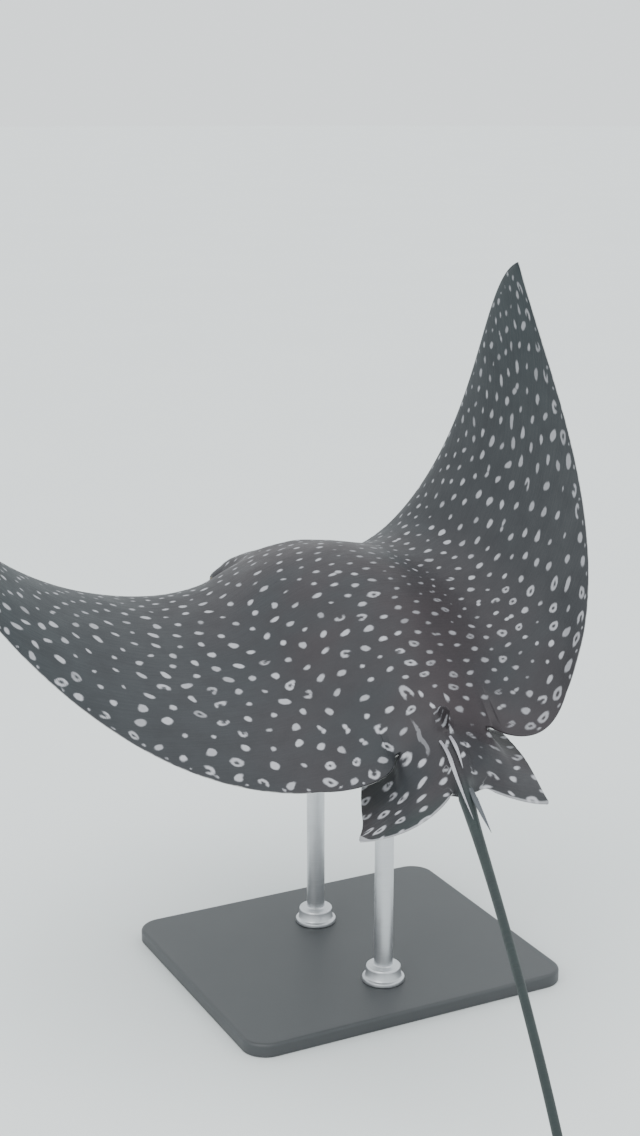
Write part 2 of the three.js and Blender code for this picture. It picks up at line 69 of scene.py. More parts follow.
PELVIC_REAR = {-1: ((14, -548), (55, -602), (125, -590), (158, -500)),
               1: ((14, -500), (50, -530), (110, -545), (172, -514))}
PELVIC_LEAD = -300
PELVIC_HINGE = 30
PELVIC_HEIGHT = -12
PELVIC_THICK = (17, 5)
PELVIC_FOLD = {-1: 0.47, 1: 0.41}
PELVIC_SWING = {-1: 0.0, 1: 0.21}
ROOT_D = (740, 800, 850, 895, 935, 962, 982, 996)
ROOT_HALF = (86, 96, 98, 84, 64, 46, 30, 10)
ROOT_SWELL = (0.6, 0.6, 0.7, 1.0, 1.3, 1.5, 1.5, 1.5)
ROOT_CROWN = (36, 34, 28, 22, 14, 9, 4, 0)
ROOT_KEEL = (18, 18, 17, 15, 12, 9, 6, 3)
FIN_HEIGHT = (24, 66)
FIN_FRONT = (800, 864)
FIN_REAR = (868, 880)
FIN_THICK = (10, 2.4)
EYE_AT = (82, 322, 10)
EYE_R = 15
LID_OPEN = 10.2
SPIRACLE_AT = (92, 274, 22)
SPIRACLE_R = (16, 21, 13)
STINGS = (("sting_1", (-17, -434, 22), 224, 6.2, 4, 0.064, -0.028),
          ("sting_2", (-2, -436, 26), 92, 5.8, 3.8, 0.035, -0.06),
          ("sting_3", (6, -570, 11), 122, 8.5, 4.4, 0.07, 0.03))
BARBS = 26
PLATE_HALF = (280, 240)
PLATE_CORNER = 40
PLATE_TALL = 22
PLATE_ROUND = 5
RODS = (("stand_rod_front", (0, 110)), ("stand_rod_rear", (0, -130)))
ROD_R = 15
ROD_FOOT = 22.3
ROD_SINK = 9

# ---- pose: root angle, bend with q, q^2, q^3, twist with q, q^2, sweep, camber
POSE = {-1: (0.151, 0.322, 0.370, 0.258, 0.01, 0.38, -0.17, -0.05),
        1: (0.157, 3.074, -2.366, 0.808, -0.15, 0, -0.22, 0.35)}
COURSE_STEPS = 400
PIVOT_Y = (45, -177)
SPINE_Y = 75
SWAY = -0.35
RISE = 0.15
DROOP_Y = 120
DROOP = 0.9
TAIL_ROOT_Y = -430
TAIL_STEP = 5
TAIL_S = (0, 80, 250, 600, 1200, 2000, 3600)
TAIL_SIDE = (-0.231, -0.422, -0.378, -0.397, -0.47, -0.45, -0.20)
TAIL_CLIMB = (0.10, 0.08, 0.04, -0.01, 0.0, 0.13, 0.16)
BANK = 0.116
NOSE_UP = 0.137
LIFT = 560

# ---- markings, mm
FAR = 26.0
EDGE_STEP = 43
EDGE_ROWS = ((15, 20), (5.2, 42))
# a long dim pale streak on the left flank of the tail's root: a painted highlight along that flank
HIGHLIGHT_STREAK_AT = (-36, -404)
BESIDE_TAIL_TOP = -330

# ---- view: place in metres, axes to the right, up and back, focal length and height in pixels
VIEW_AT = (-1.3334, -2.5495, 1.4432)
VIEW_AXES = (0.8927, -0.4506, -0.0005), (0.1173, 0.2314, 0.9658), (-0.4350, -0.8622, 0.2595)
VIEW_FOCAL = 1900
VIEW_TALL = 1136


# ---- curves
def curve(xs, ys, x):
    """Smooth curve through a short table, never overshooting it."""
    xs, ys = np.array(xs, float), np.array(ys, float)
    x = np.clip(x, xs[0], xs[-1])
    h = np.diff(xs)
    s = np.diff(ys) / h
    a, b = s[:-1], s[1:]
    level = a * b <= 0
    inner = np.where(level, 0, 2 * a * b / np.where(level, 1, a + b))
    m = np.concatenate([s[:1], inner, s[-1:]])
    i = np.clip(np.searchsorted(xs, x) - 1, 0, len(xs) - 2)
    t = (x - xs[i]) / h[i]
    return ((2 * t**3 - 3 * t**2 + 1) * ys[i] + (t**3 - 2 * t**2 + t) * h[i] * m[i]
            + (-2 * t**3 + 3 * t**2) * ys[i + 1] + (t**3 - t**2) * h[i] * m[i + 1])


def smooth(x, low, high):
    """0 at low, 1 at high, eased between; with low above high it falls from 1 to 0."""
    t = np.clip((x - low) / (high - low), 0, 1)
    return t * t * (3 - 2 * t)


def ridge(x, width):
    """1 where x is 0, falling off evenly on both sides."""
    return np.exp(-(x / width)**2)


def lerp(a, b, t):
    return a + (b - a) * t


def turned(a, b, angle):
    """A pair of coordinates turned by an angle."""
    return a * np.cos(angle) - b * np.sin(angle), a * np.sin(angle) + b * np.cos(angle)


def circle(n, offset=0):
    """Cosines and sines of n even steps round a circle."""
    a = 2 * np.pi * (np.arange(n) + offset) / n
    return np.cos(a), np.sin(a)


def running(steps):
    """Running total from 0."""
    return np.concatenate([[0], np.cumsum(steps)])


def xyz(x, y, z):
    """Points from three coordinates, any of which may be one number."""
    return np.stack(np.broadcast_arrays(x, y, z), -1)


def bezier(points, t):
    p = np.array(points, float)
    t = np.asarray(t, float)[..., None]
    return (1 - t)**3 * p[0] + 3 * (1 - t)**2 * t * p[1] + 3 * (1 - t) * t**2 * p[2] + t**3 * p[3]


def edge_table(points):
    p = bezier(points, np.linspace(0, 1, 4001))
    return p if p[-1, 0] > p[0, 0] else p[::-1]


LEAD_LINE = edge_table(LEAD)
TRAIL_LINE = np.vstack([edge_table(CORNER), edge_table(TRAIL)])


def lead_y(x):
    return np.interp(np.abs(x), *LEAD_LINE.T)


def trail_y(x):
    return np.interp(np.abs(x), *TRAIL_LINE.T)


# ---- from flat to pose
def wing_course(side):
    """Stations along a wing: share of its length, place and turn in the pose."""
    root, bend, bend_2, bend_3 = POSE[side][:4]
    step = (HALF - ROOT_X) / COURSE_STEPS

    def angle(at):
        bends = bend * at + bend_2 * at**2 + bend_3 * at**3
        return root * smooth(at, 0, 0.26) + bends * smooth(at, 0, 0.12)
    phi = angle((np.arange(COURSE_STEPS) + 0.5) / COURSE_STEPS)
    at = np.arange(COURSE_STEPS + 1) / COURSE_STEPS
    return at, ROOT_X + running(np.cos(phi) * step), running(np.sin(phi) * step), angle(at)


def bowed(y):
    return ((SPINE_Y - y) / (2 * HALF))**2 * 2 * HALF


def tail_course():
    """Stations along the tail: distance, place, turn to the side and climb."""
    s = np.arange(0, TAIL_S[-1] + 1, TAIL_STEP)
    side, climb = (curve(TAIL_S, v, s - TAIL_STEP / 2) for v in (TAIL_SIDE, TAIL_CLIMB))
    sides, climbs = side[1:], climb[1:]
    bow = bowed(TAIL_ROOT_Y)
    x = SWAY * bow + running(TAIL_STEP * np.sin(sides) * np.cos(climbs))
    y = TAIL_ROOT_Y - running(TAIL_STEP * np.cos(sides) * np.cos(climbs))
    return s, x, y, RISE * bow + running(TAIL_STEP * np.sin(climbs)), side, climb


WING = {side: wing_course(side) for side in POSE}
TAIL = tail_course()


def bent(flat):
    """Flat shape to the swimming pose, still level and in millimetres."""
    out = np.array(flat, float)
    for side in (-1, 1):
        m = out[:, 0] * side > ROOT_X
        x, y, z = out[m, 0] * side, out[m, 1], out[m, 2]
        twist_1, twist_2, sweep, camber = POSE[side][4:]
        q = (x - ROOT_X) / (HALF - ROOT_X)
        at = np.clip(q, 0, 1)
        cx, cz, phi = (np.interp(at, WING[side][0], v) for v in WING[side][1:])
        pivot = lerp(*PIVOT_Y, at)
        soft = q * smooth(q, 0, 0.25)
        twist = twist_1 * soft + twist_2 * q * q
        dy = y - pivot
        y2, z2 = turned(dy, z + camber * soft * (dy / 375)**2 * 150, twist)
        out[m] = xyz(side * (cx - z2 * np.sin(phi)), pivot + y2 - sweep * q * q * HALF, cz + z2 * np.cos(phi))
    droop = np.maximum(0, out[:, 1] - DROOP_Y) / (2 * HALF)
    out[:, 2] -= DROOP * droop**2 * 2 * HALF
    rear = out[:, 1] < TAIL_ROOT_Y
    mid = (out[:, 1] < SPINE_Y) & ~rear
    bow = bowed(out[mid, 1])
    out[mid, 0] += SWAY * bow
    out[mid, 2] += RISE * bow
    s = TAIL_ROOT_Y - out[rear, 1]
    cx, cy, cz, side, climb = (np.interp(s, TAIL[0], v) for v in TAIL[1:])
    back, up = turned(0, out[rear, 2], -climb * smooth(s, 0, 200))
    x, y = turned(out[rear, 0], back, side * smooth(s, 0, 200))
    out[rear] = xyz(cx + x, cy + y, cz + up)
    return out


def placed(level):
    """Banked, nose up and lifted over the stand, in metres."""
    x, y, z = level.T
    x, z = turned(x, z, BANK)
    y, z = turned(y, z, NOSE_UP)
    return xyz(x, y, z + LIFT) * MM


# ---- shells
def lofted(rings, cap_a=None, cap_b=None):
    """Closed skin over rings of equal length, facing outward."""
    rings = np.array(rings, float)
    m, n = rings.shape[:2]
    cap_a = rings[0].mean(0) if cap_a is None else cap_a
    cap_b = rings[-1].mean(0) if cap_b is None else cap_b
    verts = np.vstack([rings.reshape(-1, 3), cap_a, cap_b])
    i, k = np.meshgrid(np.arange(m - 1), np.arange(n), indexing="ij")
    a, b = (i * n + k).ravel(), (i * n + (k + 1) % n).ravel()
    quads = np.stack([a, b, b + n, a + n], 1)
    k = np.arange(n)
    k1 = (k + 1) % n
    last = (m - 1) * n
    ends = np.vstack([xyz(m * n, k1, k), xyz(m * n + 1, last + k, last + k1)])
    tris = np.vstack([quads[:, [0, 1, 2]], quads[:, [0, 2, 3]], ends])
    p, q, r = (verts[tris[:, j]] for j in range(3))
    faces = quads.tolist() + ends.tolist()
    if np.einsum("ij,ij->i", p, np.cross(q, r)).sum() < 0:
        faces = [f[::-1] for f in faces]
    return verts, faces


def linked(name, data):
    piece = bpy.data.objects.new(name, data)
    bpy.context.scene.collection.objects.link(piece)
    return piece


def new_mesh(name, verts, faces, zone=0):
    mesh = bpy.data.meshes.new(name)
    mesh.from_pydata(np.asarray(verts).tolist(), [], faces)
    mesh.polygons.foreach_set("material_index", [zone] * len(mesh.polygons))
    mesh.update()
    return linked(name, mesh)


def hump(x, y):
    """Rise of the trunk over the wings, and its drop below them."""
    d = SNOUT_Y - y
    u = np.clip(np.abs(x) / (1.15 * curve(TRUNK_D, TRUNK_HALF, d)), 0, 1)
    fade = np.clip((d - 60) / 90, 0, 1)
    rise = curve(TRUNK_D, TRUNK_RISE, d) * (1 - u * u)**2.2 * fade
    return rise, curve(TRUNK_D, TRUNK_DROP, d) * (1 - u * u)**1.8 * fade


def rounded_rim(v, chord):
    inward = np.clip(np.minimum(v, 1 - v) * chord / RIM_ROUND, 0, 1)
    return EDGE * np.sqrt(1 - (1 - inward)**2)


def disc_row(x, steps, forward=False):
    """One strip of the disc from its leading edge back: distance, upper and lower height."""
    y0, y1 = float(lead_y(x)), float(trail_y(x))
    chord = y0 - y1
    q = np.linspace(0, 1, steps + 1)
    v = 0.4 * q + 0.6 * q * q if forward else 0.5 * q + 0.25 * (1 - np.cos(np.pi * q))
    extra = np.array([0.2, 0.6]) / chord
    v = np.sort(np.concatenate([v, extra, 1 - extra]))
    y = y0 - chord * v
    s = curve(*WING_TOP, abs(x)) * 2.6 * np.sqrt(v) * (1 - v)
    rise, drop = hump(np.full_like(y, x), y)
    rim = rounded_rim(v, chord)
    wall = (1 - (1 - v)**12) * np.sqrt(1 - (np.clip(v - 0.88, 0, 1) / 0.1201)**2)
    return y, rim + s + rise * wall, -rim - LOWER_SHARE * s - drop * wall


def disc_shell():
    coarse = 1
    xs = np.concatenate([np.arange(1.5, 76, 3.0), np.arange(76, 97, 0.9), np.arange(98, 745, 3.0),
                         [746.5, 748, 749.2]])[::coarse]
    rings = []
    for x in np.concatenate([-xs[::-1], xs]):
        y, top, _ = disc_row(x, 270 // coarse)
        yl, _, low = disc_row(x, 170 // coarse, forward=True)
        rings.append(np.vstack([xyz(x, y, top), xyz(x, yl, low)[1:-1][::-1]]))
    tip = np.array([HALF, LEAD[3][1], 0.0])
    return lofted(rings, tip * (-1, 1, 1), tip)


def barrel_shell(ds, table, around, sharp):
    """Body along Y from half width, top and underside."""
    half, top, low = (curve(table[0], v, ds) for v in table[1:])
    c, s = circle(around, 0.5)
    mid = lerp(low, top, 0.45)
    x = half[:, None] * np.sign(c) * np.abs(c)**sharp
    reach = np.where(s > 0, (top - mid)[:, None], (mid - low)[:, None])
    z = mid[:, None] + np.sign(s) * np.abs(s)**sharp * reach
    return lofted(xyz(x, SNOUT_Y - ds[:, None], z))


def head_shell():
    ds = np.concatenate([[0, 0.8, 2, 3.6], np.arange(5.5, 96, 2.2), np.arange(97, 206, 1.3),
                         np.arange(207, 374, 2.2), [375]])
    return barrel_shell(ds, (HEAD_D, HEAD_HALF, HEAD_TOP, HEAD_LOW), 280, 0.86)


def tail_shell():
    ds = np.concatenate([np.arange(640, 1100, 4.0), np.arange(1100, 3895, 11.0), [3896, 3899]])
    return barrel_shell(ds, (TAIL_D, TAIL_HALF, TAIL_TOP, TAIL_LOW), 28, 1)


def plate_to_flat(side, x, y, z):
    """A pelvic fin's own plate, turned and folded to its place in the flat body."""
    out, back = turned(x - PELVIC_HINGE, PELVIC_LEAD - y, PELVIC_SWING[side])
    out, up = turned(out, z, -PELVIC_FOLD[side])
    return xyz(side * (PELVIC_HINGE + out), PELVIC_LEAD - back, PELVIC_HEIGHT + up)


def flat_to_plate(side, flat):
    """Place of each point in the plane of a pelvic fin."""
    x, y, z = flat.T
    out, _ = turned(side * x - PELVIC_HINGE, z - PELVIC_HEIGHT, PELVIC_FOLD[side])
    out, back = turned(out, PELVIC_LEAD - y, -PELVIC_SWING[side])
    return PELVIC_HINGE + out, PELVIC_LEAD - back


def pelvic_shell(side):
    rings = []
    for t in np.concatenate([np.linspace(0, 0.97, 80), [0.98, 0.988, 0.994]]):
        f, r = bezier(PELVIC_FRONT[side], t), bezier(PELVIC_REAR[side], t)
        chord = max(np.hypot(*(f - r)), 1)
        q = np.linspace(0, 1, 61)
        v = 0.5 * q + 0.25 * (1 - np.cos(np.pi * q))
        v = np.sort(np.concatenate([v, [0.3 / chord, 1 - 0.3 / chord]]))
        s = rounded_rim(v, chord) + lerp(*PELVIC_THICK, t) / 2 * 1.9 * np.sqrt(v) * (1 - v)
        x, y = lerp(f[0], r[0], v), lerp(f[1], r[1], v)
        rings.append(np.vstack([plate_to_flat(side, x, y, s), plate_to_flat(side, x, y, -s)[1:-1][::-1]]))
    return lofted(rings, None, plate_to_flat(side, *bezier(PELVIC_FRONT[side], 1), 0.0))


def root_shell():
    """Low saddle that carries the pelvic fins at the sides of the tail."""
    rings = []
    u = -np.cos(np.linspace(0, np.pi, 56))
    bell = 1 - u * u
    for d in np.arange(740, 996, 3.5):
        x = u * curve(ROOT_D, ROOT_HALF, d)
        crown = curve(ROOT_D, ROOT_CROWN, d) - PELVIC_HEIGHT
        plane = PELVIC_HEIGHT - 0.45 * np.maximum(0, np.abs(x) - 25)
        top = plane + np.sqrt(bell) + crown * bell**curve(ROOT_D, ROOT_SWELL, d)
        low = plane - np.sqrt(bell) - curve(ROOT_D, ROOT_KEEL, d) * bell**1.2
        rings.append(np.vstack([xyz(x, SNOUT_Y - d, top), xyz(x, SNOUT_Y - d, low)[1:-1][::-1]]))
    return lofted(rings)


def back_fin_shell():
    rings = []
    for t in np.concatenate([np.linspace(0, 0.94, 26), [0.96, 0.975, 0.988, 0.996, 1]]):
        y0, y1 = SNOUT_Y - lerp(*FIN_FRONT, t**1.5), SNOUT_Y - lerp(*FIN_REAR, t)
        half = lerp(*FIN_THICK, t) / 2 * math.sqrt(max(1 - (max(t - 0.94, 0) / 0.0605)**2, 0.01))
        c, s = circle(44)
        rings.append(xyz(half * s, lerp(y0, y1, (1 - c) / 2), lerp(*FIN_HEIGHT, t)))
    return lofted(rings)


# ---- one skin
def joined_body():
    """The flat shells as one closed skin, with the shell that each face came from."""
    shells = (disc_shell(), head_shell(), tail_shell(), pelvic_shell(-1), pelvic_shell(1), back_fin_shell(),
              root_shell())
    made = [new_mesh(f"shell_{k}", *shell, zone=k) for k, shell in enumerate(shells)]
    for piece in made:
        for _ in shells:
            piece.data.materials.append(None)
    base = made[0]
    for other in made[1:]:
        join = base.modifiers.new("join", "BOOLEAN")
        join.operation = "UNION"
        join.solver = "MANIFOLD"
        join.object = other
    evaluated = base.evaluated_get(bpy.context.evaluated_depsgraph_get())
    mesh = bpy.data.meshes.new_from_object(evaluated)
    for old in [piece.data for piece in made]:
        bpy.data.meshes.remove(old)
    work = bmesh.new()
    work.from_mesh(mesh)
    bmesh.ops.remove_doubles(work, verts=work.verts, dist=0.25)
    bmesh.ops.dissolve_degenerate(work, edges=work.edges, dist=0.05)
    work.to_mesh(mesh)
    work.free()
    return mesh


def read(items, key, width=1, kind=np.int64):
    """One property of every item as an array."""
    out = np.empty(len(items) * width, kind)
    items.foreach_get(key, out)
    return out.reshape(-1, width) if width > 1 else out


def zone_of(mesh, count):
    """Which shells meet at each point, one column for each in the order of joined_body."""
    per_loop = np.repeat(read(mesh.polygons, "material_index"), read(mesh.polygons, "loop_total"))
    on = np.zeros((count, per_loop.max() + 1), bool)
    on[read(mesh.loops, "vertex_index"), per_loop] = True
    return on


def relax(co, edges, weight, rounds):
    """Draws each point toward its neighbours by its weight."""
    live = weight > 1e-3
    use = edges[live[edges].any(1)]
    a, b = np.vstack([use, use[:, ::-1]]).T
    n = len(co)
    count = np.maximum(np.bincount(a, minlength=n), 1)
    w = (weight * live)[:, None] * 0.6
    for _ in range(rounds):
        mean = np.stack([np.bincount(a, co[b, k], n) for k in range(3)], 1) / count[:, None]
        co = co + np.where(live[:, None], w * (mean - co), 0)
    return co


def near(points, sources, reach):
    """Distance of each point to the nearest source, up to reach."""
    out = np.full(len(points), reach, float)
    lo, hi = sources.min(0) - reach, sources.max(0) + reach
    tree = kdtree.KDTree(len(sources))
    for k, p in enumerate(sources.tolist()):
        tree.insert(p, k)
    tree.balance()
    for k in np.flatnonzero(((points > lo) & (points < hi)).all(1)).tolist():
        out[k] = min(tree.find(points[k])[2], reach)
    return out


def normals_of(co, tris):
    p, q, r = (co[corner] for corner in tris.T)
    face = np.cross(q - p, r - p)
    n = np.zeros_like(co)
    for corner in tris.T:
        n += np.stack([np.bincount(corner, v, len(co)) for v in face.T], 1)
    return n / np.maximum(np.linalg.norm(n, axis=1), 1e-9)[:, None]


class HeightMap:
    """Highest surface over a level grid, and the same surface evened out."""

    def __init__(self, points, cell, sigma):
        self.cell, self.low = cell, points[:, :2].min(0) - cell
        index = ((points[:, :2] - self.low) / cell).astype(int)
        top = np.full(tuple(index.max(0) + 2), -1e9)
        np.maximum.at(top, (index[:, 0], index[:, 1]), points[:, 2])
        known = top > -1e8
        self.top = np.where(known, top, 0)
        self.even = self.blurred(self.top, known, sigma)
        self.shift = self.blurred(self.even - self.top, known, 3 * cell)

    def blurred(self, grid, known, sigma):
        def kernel(n):
            gap = (np.arange(n)[:, None] - np.arange(n)) * self.cell
            return np.exp(-gap**2 / (2 * sigma**2))
        a, b = kernel(grid.shape[0]), kernel(grid.shape[1])
        return (a @ (grid * known) @ b) / np.maximum(a @ known @ b, 1e-6)

    def read(self, grid, points):
        at = (points[:, :2] - self.low) / self.cell - 0.5
        at = np.clip(at, 0, np.array(grid.shape) - 1.001)
        (i, k), (u, v) = at.astype(int).T, (at % 1).T
        return lerp(lerp(grid[i, k], grid[i + 1, k], u), lerp(grid[i, k + 1], grid[i + 1, k + 1], u), v)


def eased_back(level, tris, weight, fin, sigma):
    """Evens the upper surface where the weight asks for it; the back fin rides along."""
    up = normals_of(level, tris)[:, 2] > 0.12
    use = up & (weight > 0) & ~fin
    field = HeightMap(level[use], 4.0, sigma)
    out = level.copy()
    hidden = field.read(field.top, level) - level[:, 2]
    w = weight * use * smooth(hidden, 14, 7)
    out[:, 2] += w * (field.read(field.even, level) - level[:, 2])
    ride = fin & (weight > 0)
    out[ride, 2] += weight[ride] * field.read(field.shift, level[ride])
    return out


# ---- head details
def eye_frame(side):
    """Centre of an eye, its line of sight and the two directions across that."""
    axis = Vector((side, 0.16, 0.14)).normalized()
    level = axis.cross(Vector((0, 0, 1))).normalized()
    lift = level.cross(axis).normalized()
    return np.array(EYE_AT) * (side, 1, 1), np.array((level, lift, axis))


def around_eye(co, side):
    """Height of each point along an eye's axis, its lid radius and its lift."""
    centre, basis = eye_frame(side)
    h, w, a = basis @ (co - centre).T
    return a, np.sqrt((h / 1.16)**2 + (w / 0.9)**2), w


def shape_head(co, normal):
    """Brows, lids, breathing holes, mouth, nose flap and gill slits, as moves of the flat skin."""
    x, y, z = co.T
    d = SNOUT_Y - y
    ax = np.abs(x)
    crown = ridge(x, 26) * ridge(d - 150, 55) * (z > 20)
    brow = ridge(ax - 66, 17) * ridge(d - 140, 34) * smooth(z, 10, 30)
    cheek = ridge(z + 12, 13) * ridge(d - 100, 45) * (ax > 40)
    groove = ridge(z + 22 + 0.06 * (d - 60), 5) * smooth(d, 34, 60) * smooth(d, 160, 120) * (ax > 38)
    rise = 5 * brow - 3.5 * crown + 1.5 * cheek - 4.0 * groove
    # mouth and the flap in front of it, on the underside
    under = (normal[:, 2] < -0.2) & (d > 40) & (d < 160) & (ax < 70)
    line = 108 - 0.0035 * x * x
    mouth = ridge(d - line, 2.6) * smooth(ax, 44, 36) * under
    lips = ridge(d - line - 6, 4) * smooth(ax, 46, 30) * under
    flap = smooth(d, 76, 88) * smooth(d, line - 2.5, line - 4.5) * smooth(ax, 36, 30) * under
    nostril = ridge(ax - 39, 6.5) * ridge(d - 88, 7.5) * under
    chin = ridge(d - 134, 6) * smooth(ax, 55, 30) * under
    rise += -7 * mouth + 2.0 * lips + 2.8 * flap - 6 * nostril - 1.2 * chin
    slits = np.maximum(mouth, nostril * 0.9)
    # five gill slits each side
    for k in range(5):
        t = ax - (79 - 2.4 * k)
        half = 14 - 1.1 * k
        across = d - (206 + 21 * k) - 0.22 * t - 0.018 * t * t
        below = normal[:, 2] < -0.15
        slit = ridge(across, 1.9) * smooth(np.abs(t), half + 1.5, half - 3) * below
        fold = ridge(across + 5.5, 3.6) * smooth(np.abs(t), half + 5, half - 3) * below
        rise += -3.6 * slit + 2.0 * fold
        slits = np.maximum(slits, slit)
    out = co + normal * rise[:, None]
    holes, lids = np.zeros((2, len(co)))
    for side in (-1, 1):
        here = x * side > 0
        # breathing hole behind the eye
        r = np.array(SPIRACLE_R, float)
        inward = np.array((-side * 0.86, 0.06, -0.5))
        q, step = (out - np.array(SPIRACLE_AT) * (side, 1, 1)) / r, inward / r
        b = q @ step
        m = (q * q).sum(1)
        hit = (m < 1.0) & here
        depth = (-b + np.sqrt(np.maximum(b * b - (step @ step) * (m - 1), 0))) / (step @ step)
        out[hit] += inward * depth[hit, None] * 0.96
        rim = ridge(np.sqrt(m) - 1.12, 0.16) * here * (normal @ inward < 0.2)
        out -= inward * (2.4 * rim)[:, None]
        holes = np.maximum(holes, smooth(np.sqrt(m), 1.0, 0.72) * here)
        # lids: draw the ring of points just outside the opening close up to its rim
        centre, (_, _, axis) = eye_frame(side)
        a, rho, _ = around_eye(out, side)
        zone = (rho < 34) & (a > -14) & here
        beyond = np.clip(rho - LID_OPEN, 0, None)
        pull = beyond * 3 / (beyond + 3) * smooth(rho, 26, 14) * zone
        outward = out - centre - axis * a[:, None]
        outward /= np.maximum(np.linalg.norm(outward, axis=1), 1e-6)[:, None]
        out -= outward * pull[:, None]
        # then close them round the eyeball
        a, rho, w = around_eye(out, side)
        lid = 12.2 - 0.34 * (rho - LID_OPEN) + 0.5 * smooth(w, 2, 9)
        target = lerp(lid, a, smooth(rho, 12.5, 31))
        inside = np.sqrt(np.maximum(EYE_R**2 - rho**2, 0)) - 5.5
        target = np.where(rho < LID_OPEN, inside, target)
        out[zone] += axis * (target - a)[zone, None]
        lids = np.maximum(lids, ridge(rho - 11.3, 1.8) * zone)
    return out, {"slit": slits, "hole": holes, "lid": lids}


# ---- spots
DOT, RING, CRESCENT, BEAN = range(4)


def spacing(x, y):
    """Natural distance between spots, mm."""
    ax = np.abs(x)
    wide = 22 + 16 * smooth(lead_y(x) - y, 0, 210) + 3 * smooth(-y, 60, 330)
    wide = np.where(y > 250, np.minimum(wide, 21), wide)
    middle = ridge(ax, 110) * smooth(-y, 120, 300)
    flank = smooth(x, 10, 50) * smooth(x, 260, 150) * smooth(y, 230, 150)
    trunk = 1 - 0.13 * ridge(ax, 190)
    return trunk * wide * (1 - 0.20 * smooth(ax, 520, 740)) * (1 - 0.15 * middle) * (1 - 0.15 * flank)


def spread(rng, inside, box, gap, tries, fixed):
    """Seeded points no nearer than the local gap, then eased apart; the fixed ones stay."""
    held = len(fixed)
    lo, hi = np.array(box, float)
    cand = lo + rng.random((tries, 2)) * (hi - lo)
    cand = cand[inside(*cand.T)]
    store = np.zeros((held + 1600, 2))
    store[:held] = fixed
    n = held
    for p, g in zip(cand, gap(*cand.T)):
        if ((store[:n] - p)**2).sum(1).min() < (0.80 * g)**2:
            continue
        store[n] = p
        n += 1
        if n == len(store):
            break
    pts = store[:n]
    for _ in range(14):
        diff = pts[:, None] - pts[None]
        dist = np.linalg.norm(diff, axis=2) + 1e-6
        np.fill_diagonal(dist, 1e9)
        push = np.clip(1.08 * gap(*pts.T)[:, None] - dist, 0, None) / dist
        move = (diff * push[..., None]).sum(1) * 0.16
        move[:held] = 0
        trial = pts + move
        pts = np.where(inside(*trial.T)[:, None], trial, pts)
    return pts


def in_disc(x, y):
    ax = np.abs(x)
    d = SNOUT_Y - y
    wing = (ax < 738) & (y < lead_y(x) - 9) & (y > trail_y(x) + 24)
    head = (ax < 0.80 * curve(HEAD_D, HEAD_HALF, d)) & (y > 280) & (y < 372)
    root = (ax < np.minimum(70, curve(ROOT_D, ROOT_HALF, d) - 8)) & (y > -575) & (y < -340)
    return wing | head | root


def edge_row(side, rng, inside, start):
    """A row of marks just inside the trailing edge."""
    line = TRAIL_LINE[(TRAIL_LINE[:, 0] > 96) & (TRAIL_LINE[:, 0] < 735)][::-1]
    run = running(np.hypot(*np.diff(line, axis=0).T))
    at = np.arange(start, run[-1] - 10, EDGE_STEP)
    at = at + (rng.random(len(at)) - 0.5) * EDGE_STEP * 0.3
    x, y = (np.interp(at, run, v) for v in line.T)
    dx, dy = (np.interp(at, run, np.gradient(v, run + np.arange(len(run)) * 1e-9)) for v in line.T)
    inset = inside * (1 + rng.random(len(at)) * 0.3) / np.hypot(dx, dy)
    return np.stack([side * (x + inset * dy), y - inset * dx], 1), np.arctan2(dy, dx * side)


def spot_rows(x, y, r, long, *rest):
    """Place, half sizes and the rest: turn, kind, opening and strength of each spot."""
    return np.stack([x, y, r * np.sqrt(long), r / np.sqrt(long), *rest], 1)


